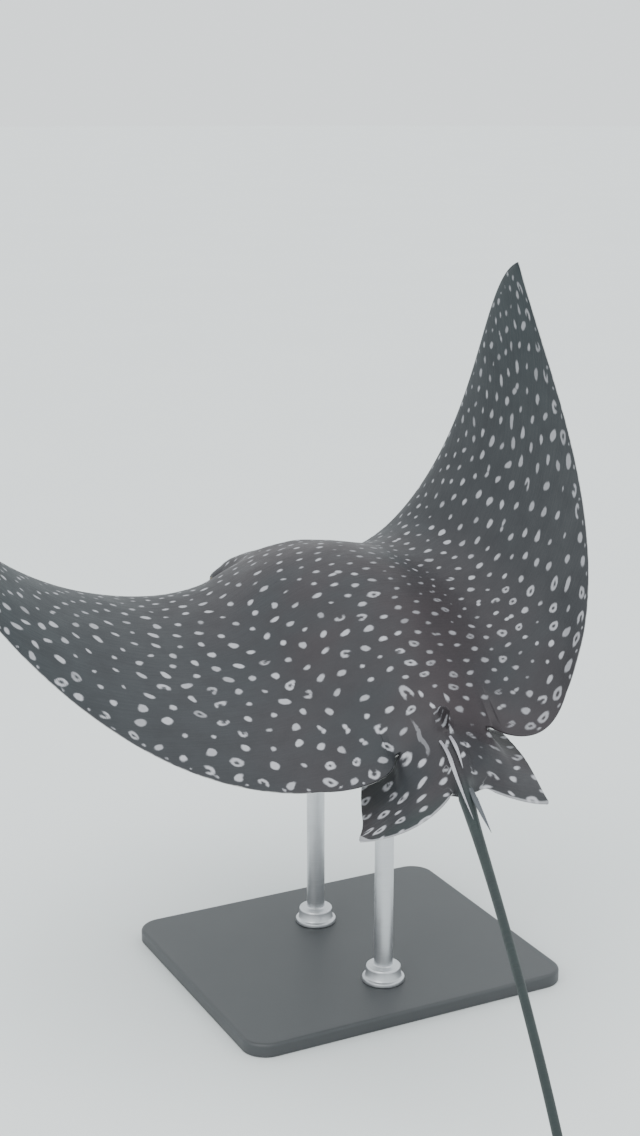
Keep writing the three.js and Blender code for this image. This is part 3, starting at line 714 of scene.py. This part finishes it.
def spot_list(rng):
    """Every spot of the back."""
    made = [(*edge_row(side, rng, inside, start), inside) for side in (-1, 1) for inside, start in EDGE_ROWS]
    fixed, edge_turn = (np.concatenate([row[k] for row in made]) for k in (0, 1))
    tiny = np.concatenate([np.full(len(row[1]), row[2] < 10) for row in made])
    held = len(fixed)
    pts = spread(rng, in_disc, ((-742, -480), (742, 385)), spacing, 26000, fixed)
    x, y = pts.T
    n = len(pts)
    rear = smooth(-y, -40, 300)
    r = spacing(x, y) * (0.176 + 0.018 * rear) * np.exp(rng.normal(0, 0.13, n))
    small = rng.random(n) < 0.17
    r = np.where(small, r * 0.62, r)
    turn = rng.normal(0, 0.32, n)
    slope = np.gradient(*LEAD_LINE.T[::-1])
    turn += np.sign(x) * np.arctan(np.interp(np.abs(x), LEAD_LINE[:, 0], slope)) * 0.5
    long = 1.42 - 0.22 * rear + rng.normal(0, 0.12, n)
    pick = rng.random(n)
    chance = 0.36 * smooth(-y, 20, 280) * ~small
    on_edge = np.arange(n) < held
    kind = np.select([on_edge & (pick < 0.35), on_edge & (pick < 0.8), on_edge, (pick > 0.94) & ~small,
                      pick < chance * 0.42, pick < chance], [RING, CRESCENT, DOT, BEAN, CRESCENT, RING], DOT)
    turn[:held] = edge_turn + rng.normal(0, 0.2, held)
    edge_r = 8.0 * (1 - 0.35 * smooth(np.abs(x), 520, 740)) * np.exp(rng.normal(0, 0.1, n))
    r = np.where(on_edge, edge_r, r)
    r = np.where((kind == RING) | (kind == CRESCENT), np.clip(r * 1.28, 7.6, 10.5), r)
    minor = np.zeros(n, bool)
    minor[:held] = tiny
    kind = np.where(minor, DOT, kind)
    r = np.where(minor, 2.9, r)
    long = np.clip(long, 1.0, 1.9)
    # many spots of the left wing's rear lie fore and aft; those toward the tip are larger
    back_left = smooth(-x, 60, 150) * smooth(lead_y(x) - y, 110, 260)
    chordwise = rng.random(n) < back_left
    turn = np.where(chordwise, np.pi / 2 + rng.normal(0, 0.45, n), turn)
    long = np.where(chordwise, np.clip(rng.normal(1.5, 0.16, n), 1.2, 2), long)
    tipward = smooth(x, 300, 700)
    r = r * np.where(on_edge, 0.96, 0.93 + 0.22 * tipward + 0.04 * back_left)
    long = np.where(on_edge, long, long * (1 + 0.25 * tipward))
    # short streaks along the root of the tail
    root = (np.abs(x) < 34) & (y < BESIDE_TAIL_TOP)
    streaks = (np.pi / 2 + rng.normal(0, 0.12, n), 2.6, DOT, 5.4)
    turn, long, kind, r = (np.where(root, *pair) for pair in zip(streaks, (turn, long, kind, r)))
    open_at = rng.random(n) * 2 * np.pi
    strength = np.clip(rng.normal(0.9, 0.12, n), 0.35, 1)
    # painted shade: spots dimmed over the right flank of the trunk and, less, toward the right wing's tip
    flank = smooth(x, 8, 30) * smooth(x, 210, 110) * smooth(-y, -170, -60)
    strength *= (1 - 0.36 * flank) * (1 - 0.2 * smooth(x, 120, 650))
    # beside the tail: a pale crescent, and the dim pale streak that is a painted highlight on the tail root's
    # left flank
    beside = [(-30, -318, 17, 9, 1.7, CRESCENT, 3.1, 0.7), (*HIGHLIGHT_STREAK_AT, 38, 3.4, 1.64, DOT, 0, 0.32)]
    clear = [np.hypot((x - m[0]) / 20, (y - m[1]) / (m[2] + 8)) > 1 for m in beside]
    rows = spot_rows(x, y, r, long, turn, kind, open_at, strength)
    return np.vstack([rows[clear[0] & clear[1]], beside])


def mark_field(px, py, spots):
    """Signed distance to the nearest spot's edge, mm, and that spot's strength."""
    field = np.full(len(px), FAR)
    strength = np.ones(len(px))
    px, py = (px + 1.2 * np.sin(0.19 * py + 0.11 * px) + 0.4 * np.sin(0.31 * px - 0.23 * py + 2),
              py + 1.2 * np.sin(0.17 * px - 0.13 * py + 1) + 0.4 * np.sin(0.29 * py + 0.27 * px))
    order = np.argsort(px)
    sx = px[order]
    for x, y, ra, rb, turn, kind, open_at, power in spots:
        span = max(FAR, ra + 12)
        pick = order[slice(*np.searchsorted(sx, (x - span, x + span)))]
        pick = pick[np.abs(py[pick] - y) < span]
        a, b = turned(px[pick] - x, py[pick] - y, -turn)
        a, b = a / ra, b / rb
        rm = math.sqrt(ra * rb)
        if kind == BEAN:
            two = np.minimum(np.hypot(a - 0.62, b - 0.25), np.hypot(a + 0.62, b + 0.25))
            sd = (two - 0.62) * rm - 0.8
        else:
            e = np.hypot(a, b)
            sd = (e - 1) * rm if kind == DOT else np.abs(e - 0.66) * rm - 0.34 * rm
            if kind == CRESCENT:
                gap_side = np.cos(np.arctan2(b, a) - open_at) - math.cos(0.75)
                sd = np.maximum(sd, gap_side * rm * 0.8)
        better = sd < field[pick]
        field[pick[better]] = sd[better]
        strength[pick[better]] = power
    return field, strength


def in_outline(outline, x, y):
    hit = np.zeros(len(x), bool)
    for (x0, y0), (x1, y1) in zip(outline, np.roll(outline, -1, 0)):
        hit ^= ((y0 > y) != (y1 > y)) & (x < (x1 - x0) * (y - y0) / (y1 - y0 + 1e-12) + x0)
    return hit


def pelvic_spots(side, rng, fixed):
    """Spots of a pelvic fin, clear of those on the root of the tail."""
    t = np.linspace(0, 1, 60)
    line = np.vstack([bezier(PELVIC_FRONT[side], t), bezier(PELVIC_REAR[side], t)[::-1]])
    outline = plate_to_flat(side, line[:, 0], line[:, 1], 0)[:, :2]
    pts = spread(rng, lambda x, y: in_outline(outline, x, y), (outline.min(0), outline.max(0)),
                 lambda x, y: 31 + 0 * x, 3000, fixed)[len(fixed):]
    x, y = pts[np.hypot((pts[:, 0] - HIGHLIGHT_STREAK_AT[0]) / 22, (pts[:, 1] - HIGHLIGHT_STREAK_AT[1]) / 50) > 1].T
    n = len(x)
    r = 6.2 * np.exp(rng.normal(0, 0.18, n))
    kind = rng.choice([DOT, RING, CRESCENT, DOT], n)
    r = np.where(kind == DOT, r * 0.85, np.clip(r * 1.25, 7.4, 9.5))
    long = np.clip(rng.normal(1.2, 0.12, n), 1, 1.5)
    turn = side * rng.normal(0.6, 0.5, n)
    open_at = rng.random(n) * 6.28
    return spot_rows(x, y, r, long, turn, kind, open_at, np.clip(rng.normal(0.92, 0.08, n), 0.6, 1))


def add_attribute(mesh, name, values):
    values = np.asarray(values, float)
    vector = values.ndim == 2
    a = mesh.attributes.new(name, "FLOAT_VECTOR" if vector else "FLOAT", "POINT")
    a.data.foreach_set("vector" if vector else "value", values.ravel())


def eased_creases(co, edges, on):
    """The flat skin with its creases eased where shells meet, and a rounder nose."""
    _, head, _, left, right, back_fin, _ = on.T
    several = on.sum(1) > 1
    front, fin_foot = several & head, several & back_fin
    rear = several & ~head & ~back_fin
    narrow = left | right | (np.abs(co[:, 0]) > 72)
    nose = smooth(SNOUT_Y - co[:, 1], 26, 2)
    passes = ((smooth(near(co, co[front], 40.0), 40, 12), 60),
              (smooth(near(co, co[rear], 30.0) / np.where(narrow, 16.0, 30.0), 1, 0.3), 40),
              (smooth(near(co, co[fin_foot], 9.0), 9, 2), 10))
    for weight, rounds in passes:
        co = relax(co, edges, weight, rounds)
    return relax(co, edges, nose, 12)


def markings(flat, facing, on, marks):
    """What the skin's finish reads at each point: spots, upper side, rims and fins."""
    x, y, z = flat.T
    d = SNOUT_Y - y
    disc, _, tail, left, right, back_fin, root = on.T
    pelvic = left | right
    # the back is dark above this height, and by its facing where the body is thin
    line = (-36 - 6 * smooth(d, 20, 80) + 42 * smooth(d, 105, 195)) * smooth(np.abs(x), 125, 98)
    line = np.where(tail & (d > 650), -14 - 60 * smooth(d, 900, 990), line)
    thin = root | pelvic | (disc & (np.abs(x) < 215) & (y < -370))
    upper = np.where(thin, 3 + 12 * facing, z - line)
    upper = np.where(back_fin, 10.0, upper)
    rng = np.random.default_rng(11)
    spots = spot_list(rng)
    look = np.array(mark_field(x, y, spots))
    # slanting streaks on the back fin
    streak = np.abs((y + 366 + 0.5 * (z - 30)) % 17 - 8.5) - 2.6 + 1.5 * np.sin(0.2 * z + 0.13 * y)
    streak = np.maximum(streak, np.abs(z - 45) - 12)
    look = np.where(back_fin & (z > 26), (streak, 0.7 + 0 * z), look)
    # the pelvic fins and the root of the tail have spots of their own
    near_root = np.abs(spots[:, 0]) < curve(ROOT_D, ROOT_HALF, SNOUT_Y - spots[:, 1])
    root_spots = spots[near_root & (spots[:, 1] < BESIDE_TAIL_TOP)]
    fin_spots = [pelvic_spots(side, rng, root_spots[:, :2]) for side in (-1, 1)]
    rearward = (pelvic | root | (tail & (d > 850))) & ~disc
    field, strength = np.where(rearward, mark_field(x, y, np.vstack([root_spots, *fin_spots])), look)
    plain = (tail & ~root & (d > 955)) | (np.maximum(marks["lid"], marks["hole"]) > 0.2)
    field = np.where(plain, FAR, field)
    # distance from the rims, shortened at the left pelvic fin's pale corner
    rim = np.minimum(lead_y(x) - y, y - trail_y(x))
    for side, leaf in ((-1, left), (1, right)):
        px, py = flat_to_plate(side, flat)
        edge = bezier(PELVIC_REAR[side], np.linspace(0, 1, 200))
        corner = 9 * smooth(px, 136, 152) * (side < 0)
        rim = np.where(leaf & ~disc, py - np.interp(px, *edge.T) - corner, rim)
    return {"flat": flat * MM, "mark": field, "strength": strength, "upper": np.clip(upper, -30, 30),
            "rim": np.clip(rim, -5, 120), "fin": pelvic & ~disc, **marks}


def evened(flat, tris, on):
    """The bent skin, evened out where the wings, the trunk and the root of the tail run together."""
    x, y, _ = flat.T
    disc, _, tail, left, right, back_fin, root = on.T
    leaf = left | right | root
    ahead = smooth(lead_y(x) - y, 25, 120)
    astern = np.where(np.abs(x) > 88, smooth(y - trail_y(x), 8, 90), smooth(y, -400, -330))
    over_disc = ~((leaf | tail) & (y < -330)) & (y > -460)
    wide = smooth(np.abs(x), 340, 230) * ahead * astern * over_disc
    fins = (leaf & ~disc & ~tail) * smooth(-y, 330, 360) * smooth(-y, 540, 440)
    close = smooth(-y, 300, 345) * smooth(-y, 485, 440) * smooth(np.abs(x), 88, 66)
    level = eased_back(bent(flat), tris, wide, back_fin, 40.0)
    level = eased_back(level, tris, fins, np.zeros_like(back_fin), 15.0)
    return eased_back(level, tris, close, back_fin, 12.0)


def build_skin():
    mesh = joined_body()
    mesh.calc_loop_triangles()
    co, edges = read(mesh.vertices, "co", 3, float), read(mesh.edges, "vertices", 2)
    tris = read(mesh.loop_triangles, "vertices", 3)
    on = zone_of(mesh, len(co))
    co = eased_creases(co, edges, on)
    shaped, marks = shape_head(co, normals_of(co, tris))
    flat = relax(shaped, edges, np.maximum(marks["slit"], marks["hole"]) * 0.5, 2)
    fields = markings(flat, normals_of(flat, tris)[:, 2], on, marks)
    mesh.vertices.foreach_set("co", placed(evened(flat, tris, on)).ravel())
    mesh.polygons.foreach_set("material_index", [0] * len(mesh.polygons))
    for name, values in fields.items():
        add_attribute(mesh, name, values)
    return linked("ray_skin", mesh)


# ---- finishes
def summing(operation, swapped=False):
    """A way for two sockets, or a socket and a number, to make a third."""
    def method(self, *others):
        terms = (*others, self) if swapped else (self, *others)
        return self.finish.add("Math", enumerate(terms), operation=operation)
    return method


class Value:
    """A socket of a material that takes part in ordinary sums."""

    def __init__(self, finish, socket):
        self.finish, self.socket = finish, socket

    __add__ = __radd__ = summing("ADD")
    __sub__ = summing("SUBTRACT")
    __rsub__ = summing("SUBTRACT", swapped=True)
    __mul__ = __rmul__ = summing("MULTIPLY")
    __truediv__ = summing("DIVIDE")
    __pow__ = summing("POWER")
    __abs__ = summing("ABSOLUTE")
    lower = summing("MINIMUM")


class Finish:
    """A material being made; add() makes any node from its type, settings and sockets."""

    def __init__(self, name):
        self.material = bpy.data.materials.new(name)
        self.material.use_nodes = True
        self.tree = self.material.node_tree
        self.tree.nodes.clear()

    def add(self, kind, sockets=(), out=0, **settings):
        node = self.tree.nodes.new("ShaderNode" + kind)
        for key, value in settings.items():
            setattr(node, key, value)
        for key, value in dict(sockets).items():
            if isinstance(value, Value):
                self.tree.links.new(value.socket, node.inputs[key])
            else:
                node.inputs[key].default_value = value
        return Value(self, node.outputs[out]) if len(node.outputs) else None

    def attribute(self, name, out="Fac"):
        return self.add("Attribute", out=out, attribute_name=name)

    def place(self):
        return self.add("TexCoord", out="Object")

    def part(self, vector, index):
        return self.add("SeparateXYZ", {0: vector}, index)

    def noise(self, where, scale, detail=3.0, rough=0.5):
        return self.add("TexNoise", {"Vector": where, "Scale": scale, "Detail": detail, "Roughness": rough})

    def eased(self, value, low, high):
        return self.add("MapRange", {"Value": value, "From Min": low, "From Max": high},
                        interpolation_type="SMOOTHSTEP")

    def blend(self, factor, a, b):
        """From a to b; each is a socket or red, green and blue."""
        a, b = (v if isinstance(v, Value) else (*v, 1.0) for v in (a, b))
        return self.add("Mix", {0: factor, 6: a, 7: b}, 2, data_type="RGBA")

    def scaled(self, vector, sizes):
        return self.add("VectorMath", {0: vector, 1: sizes}, operation="MULTIPLY")

    def bump(self, height, distance, strength=1.0):
        return self.add("Bump", {"Height": height, "Distance": distance, "Strength": strength})

    def shade(self, **sockets):
        named = {key.replace("_", " "): value for key, value in sockets.items()}
        self.add("OutputMaterial", {"Surface": self.add("BsdfPrincipled", named)})
        return self.material


def skin_finish():
    f = Finish("ray_skin")
    flat = f.attribute("flat", "Vector")
    mark, upper, rim = f.attribute("mark"), f.attribute("upper"), f.attribute("rim")
    broad = f.noise(flat, 5.5, 3)
    cloud = f.noise(flat, 22, 4, 0.6)
    fine = f.noise(flat, 240, 4, 0.65)
    # the back: charcoal, warmer over the trunk, cooler toward the tips
    out = abs(f.part(flat, 0))
    tail = 1 - f.eased(f.part(flat, 1), -0.62, -0.50)
    warm = (1 - f.eased(out, 0.03, 0.42)) * f.eased(broad, 0.25, 0.65) * (1 - tail)
    back = f.blend(warm, (0.022, 0.0245, 0.028), (0.032, 0.0255, 0.0285))
    back = f.blend(f.eased(out, 0.35, 0.75) * 0.8, back, (0.013, 0.022, 0.026))
    back = f.blend(tail * 0.9, back, (0.014, 0.023, 0.022))
    back = f.blend(f.eased(cloud, 0.35, 0.75) * 0.3, back, (0.015, 0.015, 0.018))
    back = f.blend(f.eased(fine, 0.45, 0.8) * 0.2, back, (0.045, 0.047, 0.05))
    # white spots with soft, slightly ragged rims
    ragged = mark + (fine - 0.5) * 2.4 + (f.noise(flat, 110, 2) - 0.5) * 2.0
    spot = 1 - f.eased(ragged, -2.6, 1.4)
    pale = f.blend(cloud, (0.31, 0.31, 0.34), (0.42, 0.42, 0.44))
    pale = f.blend((1 - f.eased(mark, -6.0, -1.0)) * 0.25, pale, (0.25, 0.25, 0.28))
    # each spot's strength is its own random brightness, lowered by painted shade over the right flank and
    # right wing
    back = f.blend(spot * f.attribute("strength"), back, pale)
    # the belly: white, dusky toward the rims
    belly = f.blend(f.eased(cloud, 0.35, 0.8) * 0.25, (0.74, 0.73, 0.71), (0.58, 0.56, 0.55))
    dusk = (1 - f.eased(rim, 2, 38)) * f.eased(broad, 0.35, 0.65) * 0.5
    belly = f.blend(dusk, belly, (0.30, 0.30, 0.32))
    top = f.eased(upper + (f.noise(flat, 60, 3) - 0.5) * 2.4, -1.4, 1.0)
    tint = f.blend(top, belly, back)
    # pale rear rims of the pelvic fins, then the openings and lids of the head: the gill slits, mouth and
    # nostrils dark red, their inner tone together with painted shade of the gap, and the breathing holes near
    # black as painted shade inside them
    fin_rim = f.attribute("fin") * (1 - f.eased(rim + (cloud - 0.5) * 6, 1.5, 5.0))
    tint = f.blend(fin_rim * 0.6, tint, (0.40, 0.40, 0.42))
    tint = f.blend(f.eased(f.attribute("slit"), 0.2, 0.75) * 0.9, tint, (0.075, 0.035, 0.035))
    tint = f.blend(f.eased(f.attribute("hole"), 0.1, 0.9) * 0.92, tint, (0.018, 0.014, 0.015))
    tint = f.blend(f.eased(f.attribute("lid"), 0.4, 1.0) * 0.6, tint, (0.028, 0.03, 0.033))
    rough = 0.54 + (cloud - 0.5) * 0.22 + (fine - 0.5) * 0.16
    rays = f.noise(f.scaled(flat, (1.2, 13.0, 1.0)), 12, 3)
    relief = rays * 0.5 + fine * 0.25 + f.noise(flat, 900, 2) * 0.06 + spot * 0.05
    return f.shade(Base_Color=tint, Roughness=rough, Normal=f.bump(relief, 0.0016, 0.5), Coat_Weight=0.04,
                   Coat_Roughness=0.3, Specular_IOR_Level=0.25)


def eye_finish():
    f = Finish("ray_eye")
    gaze = f.attribute("gaze", "Vector")
    away = f.add("VectorMath", {0: f.scaled(gaze, (1.0, 1.0, 0.0))}, "Value", operation="LENGTH")
    slot_shape = ((f.part(gaze, 0) / 0.46)**2.0 + ((f.part(gaze, 1) + 0.04) / 0.31)**2.0)**0.5
    pupil = 1 - f.eased(slot_shape, 0.92, 1.05)
    flecks = f.noise(f.scaled(gaze, (14.0, 14.0, 3.0)), 3, 4, 0.65)
    iris = f.blend(f.eased(flecks, 0.35, 0.7), (0.040, 0.030, 0.020), (0.15, 0.115, 0.062))
    iris = f.blend(f.eased(away, 0.52, 0.72), iris, (0.045, 0.043, 0.045))
    tint = f.blend(pupil, iris, (0.004, 0.004, 0.005))
    tint = f.blend(f.eased(away, 0.80, 0.95) * 0.7, tint, (0.16, 0.16, 0.17))
    return f.shade(Base_Color=tint, Roughness=0.07 + flecks * 0.05, Coat_Weight=0.12, Coat_Roughness=0.03,
                   Specular_IOR_Level=0.14)


def sting_finish(name, pale, worn, sheathed):
    f = Finish(name)
    local = f.attribute("local", "Vector")
    streak = f.noise(f.scaled(local, (220.0, 9.0, 220.0)), 4, 4, 0.6)
    bone = f.blend(f.eased(streak, 0.3, 0.75), worn, pale)
    at_root = 1 - f.eased(f.part(local, 1), 0.05, 0.45)
    at_middle = 1 - f.eased(abs(f.part(local, 0)), 0.0001, 0.0012)
    sheath = at_root * 0.45 + at_middle * 0.35
    tint = f.blend(sheath.lower(0.8), bone, sheathed)
    return f.shade(Base_Color=tint, Roughness=0.34 + streak * 0.2, Normal=f.bump(streak, 0.0006, 0.5))


def plate_finish():
    f = Finish("stand_plate")
    where = f.place()
    haze = f.noise(where, 9, 4, 0.6)
    tint = f.blend(haze, (0.030, 0.033, 0.036), (0.046, 0.049, 0.053))
    tint = f.blend(f.eased(f.noise(where, 160, 3, 0.7), 0.68, 0.8) * 0.25, tint, (0.14, 0.14, 0.145))
    return f.shade(Base_Color=tint, Roughness=0.42 + haze * 0.16, Coat_Weight=0.15, Coat_Roughness=0.35,
                   Normal=f.bump(f.noise(where, 420, 2), 0.0004, 0.35))


def rod_finish():
    f = Finish("stand_rod")
    where = f.place()
    brushed = f.noise(f.scaled(where, (6.0, 6.0, 900.0)), 1.0, 3, 0.6)
    smear = f.noise(where, 30, 3, 0.6)
    tint = f.blend(brushed, (0.50, 0.51, 0.53), (0.66, 0.67, 0.69))
    tint = f.blend(f.eased(smear, 0.5, 0.8) * 0.3, tint, (0.40, 0.40, 0.41))
    return f.shade(Base_Color=tint, Metallic=1.0, Roughness=0.24 + brushed * 0.14 + smear * 0.08,
                   Normal=f.bump(brushed, 0.0002, 0.3))


def floor_finish():
    f = Finish("studio_floor")
    where = f.place()
    grain = f.noise(where, 90, 3)
    tint = f.blend(f.noise(where, 1.3, 3), (0.66, 0.69, 0.69), (0.70, 0.725, 0.725))
    return f.shade(Base_Color=tint, Roughness=0.6 + grain * 0.15, Normal=f.bump(grain, 0.0004, 0.2))


# ---- eyes, stings
def eye_piece(word, side):
    """An eyeball with a clear bulge in front, its pole along the line of sight."""
    centre, basis = eye_frame(side)
    theta = np.linspace(0.03, np.pi - 0.03, 44)[:, None]
    c, s = circle(56)
    ball = xyz(np.sin(theta) * c, np.sin(theta) * s, np.cos(theta))
    cornea = 0.05 * ridge(theta, 0.5)[:, :, None]
    verts, faces = lofted(ball * (0.985 + cornea), (0, 0, 0.985 + 0.05), (0, 0, -0.985))
    piece = new_mesh(f"eye_ball_{word}", placed(bent(centre + EYE_R * 0.985 * verts @ basis)), faces)
    add_attribute(piece.data, "gaze", verts)
    return piece


def sting_piece(name, at, length, wide, thick, swing, lift):
    """A flat tapering spine with a row of barbs down each side."""
    rings, local = [], []
    c, s = circle(20, 0.5)
    for t in np.arange(151) / 150:
        taper = lerp(0.75, 1, t / 0.15) if t < 0.15 else 1 - 0.93 * ((t - 0.15) / 0.85)**1.5
        tooth = (t * BARBS) % 1.0 if 0.22 < t < 0.97 else 0.0
        lx = c * wide / 2 * taper * 0.86 * (1 + 0.24 * tooth * np.abs(c)**6)
        lz = s * thick / 2 * taper * (1 - 0.28 * ridge(c, 0.22))
        along = length * t
        rings.append(xyz(at[0] + along * math.sin(swing) + lx, at[1] - along * math.cos(swing),
                         at[2] + along * math.sin(lift) + lz))
        local.append(xyz(lx * MM, t, lz * MM))
    verts, faces = lofted(rings)
    piece = new_mesh(f"{name}_barbed", placed(bent(verts)), faces)
    add_attribute(piece.data, "local", np.vstack([*local, (0, 0, 0), (0, 1, 0)]))
    return piece


# ---- stand
def stand_plate_piece():
    """A flat plate with round corners and a soft upper edge, from (inset, height) in mm."""
    shoulder = PLATE_TALL - PLATE_ROUND
    profile = [(3, 0), (0.8, 0.5), (0, 1.6), (0, shoulder)]
    profile += [(PLATE_ROUND * (1 - math.cos(a)), shoulder + PLATE_ROUND * math.sin(a))
                for a in np.linspace(0.15, math.pi / 2, 8)]
    profile += [(PLATE_ROUND + 3, PLATE_TALL), (PLATE_ROUND + 10, PLATE_TALL), (30, PLATE_TALL)]
    quarter = np.linspace(0, 90, 19)
    middle = np.array(PLATE_HALF) - PLATE_CORNER
    rings = []
    for inset, z in profile:
        c = PLATE_CORNER - inset
        ring = []
        for sx, sy, start in ((1, 1, 0), (-1, 1, 90), (-1, -1, 180), (1, -1, 270)):
            a = np.radians(start + quarter)
            ring.append(xyz(sx * middle[0] + c * np.cos(a), sy * middle[1] + c * np.sin(a), z))
        rings.append(np.vstack(ring))
    verts, faces = lofted(rings)
    return new_mesh("stand_plate", verts * MM, faces)


def rod_piece(name, at, skin):
    """An upright rod and its collar, turned, from the plate's top to just inside the belly."""
    belly = skin.ray_cast(Vector((at[0] * MM, at[1] * MM, 0.05)), Vector((0, 0, 1)))[1].z / MM
    top = belly + ROD_SINK - ROD_FOOT
    profile = [(33.2, 0), (34, 0.8), (34, 5), (33.4, 6.2), (32, 6.8), (29.6, 7.6), (28.6, 9), (28, 22),
               (27.6, 24), (26.4, 25.4), (24.6, 26), (17.6, 26), (16.2, 26.6), (ROD_R, 28.2)]
    profile += [(ROD_R, h) for h in np.linspace(34, top - 4, 12)]
    profile += [(ROD_R - 0.6, top - 1.6), (ROD_R - 2, top)]
    c, s = circle(72)
    verts, faces = lofted([xyz(at[0] + r * c, at[1] + r * s, ROD_FOOT + h) for r, h in profile])
    return new_mesh(f"{name}_turned", verts * MM, faces)


# ---- putting it together
def own(piece, material, slot, *nodes, sharp=None):
    """Smooths a piece up to an edge angle, gives it its material, hangs it under the root and hides the parts
    of model.glb that it takes the place of.
    """
    piece.data.polygons.foreach_set("use_smooth", [True] * len(piece.data.polygons))
    if sharp is not None:
        piece.data.set_sharp_from_angle(angle=sharp)
    piece.data.update()
    piece.data.materials.clear()
    piece.data.materials.append(material)
    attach(piece, "root")
    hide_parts(*nodes)


skin = build_skin()
own(skin, skin_finish(), "skin", "snout", "head", "trunk", "wing_left_inner", "wing_left_outer",
    "wing_right_inner", "wing_right_outer", "tail_1", "tail_2", "tail_3", "tail_4", "pelvic_left",
    "pelvic_right", "back_fin")

eye_material = eye_finish()
for word, side in (("left", -1), ("right", 1)):
    own(eye_piece(word, side), eye_material, "eye", f"eye_{word}")

pale_sting = sting_finish("tail_sting", (0.46, 0.45, 0.47), (0.33, 0.33, 0.36), (0.15, 0.14, 0.17))
# the third sting is coloured near black all over, far darker than the other two
dark_sting = sting_finish("tail_sting_dark", (0.07, 0.08, 0.09), (0.05, 0.055, 0.065), (0.03, 0.033, 0.038))
for sting in STINGS:
    material = dark_sting if sting[0] == "sting_3" else pale_sting
    own(sting_piece(*sting), material, "sting", sting[0], sharp=0.7)

own(stand_plate_piece(), plate_finish(), "stand_base", "stand_base", sharp=0.6)
rod_material = rod_finish()
bpy.context.view_layer.update()
for name, at in RODS:
    own(rod_piece(name, at, skin), rod_material, "stand_rod", name, sharp=0.6)


# ---- studio
def studio_floor():
    """A wide round floor, with rings closer together under the model."""
    n = 64
    k = np.arange(n)
    c, s = circle(n)
    verts = np.vstack([*(xyz(r * c, r * s, 0) for r in (0.5, 1.5, 4, 10, 40)), (0, 0, 0)])
    k1 = (k + 1) % n
    faces = xyz(k, k1, 5 * n).tolist()
    for i in range(0, 4 * n, n):
        faces += np.stack([i + k, i + n + k, i + n + k1, i + k1], 1).tolist()
    floor = new_mesh("studio_floor", verts, faces)
    floor.data.materials.append(floor_finish())


def light(name, kind, toward, energy, **settings):
    lamp = bpy.data.lights.new(name, kind)
    lamp.energy = energy
    for key, value in settings.items():
        setattr(lamp, key, value)
    piece = linked(name, lamp)
    piece.rotation_mode = "QUATERNION"
    piece.rotation_quaternion = Vector(toward).to_track_quat("-Z", "Y")
    return piece


studio_floor()
light("light_over", "SUN", (0.16, 0.28, -1), 2.3, angle=1.0)
left_at = Vector((-3.6, -2.2, 2.6))
side_lamp = light("light_left", "AREA", Vector((0, 0, 0.6)) - left_at, 45, shape="DISK", size=2.6,
                  color=(1.0, 0.99, 0.97))
side_lamp.location = left_at
world = bpy.data.worlds.new("studio")
world.use_nodes = True
sky = world.node_tree.nodes["Background"].inputs
sky["Color"].default_value = (0.93, 0.985, 1.0, 1)
sky["Strength"].default_value = 1.45
bpy.context.scene.world = world

view = bpy.data.cameras.new("view")
view.sensor_width = 36
view.lens = VIEW_FOCAL * view.sensor_width / VIEW_TALL
view.clip_start, view.clip_end = 0.05, 100
camera = linked("view", view)
camera.matrix_world = Matrix.Translation(VIEW_AT) @ Matrix(VIEW_AXES).transposed().to_4x4()
bpy.context.scene.camera = camera
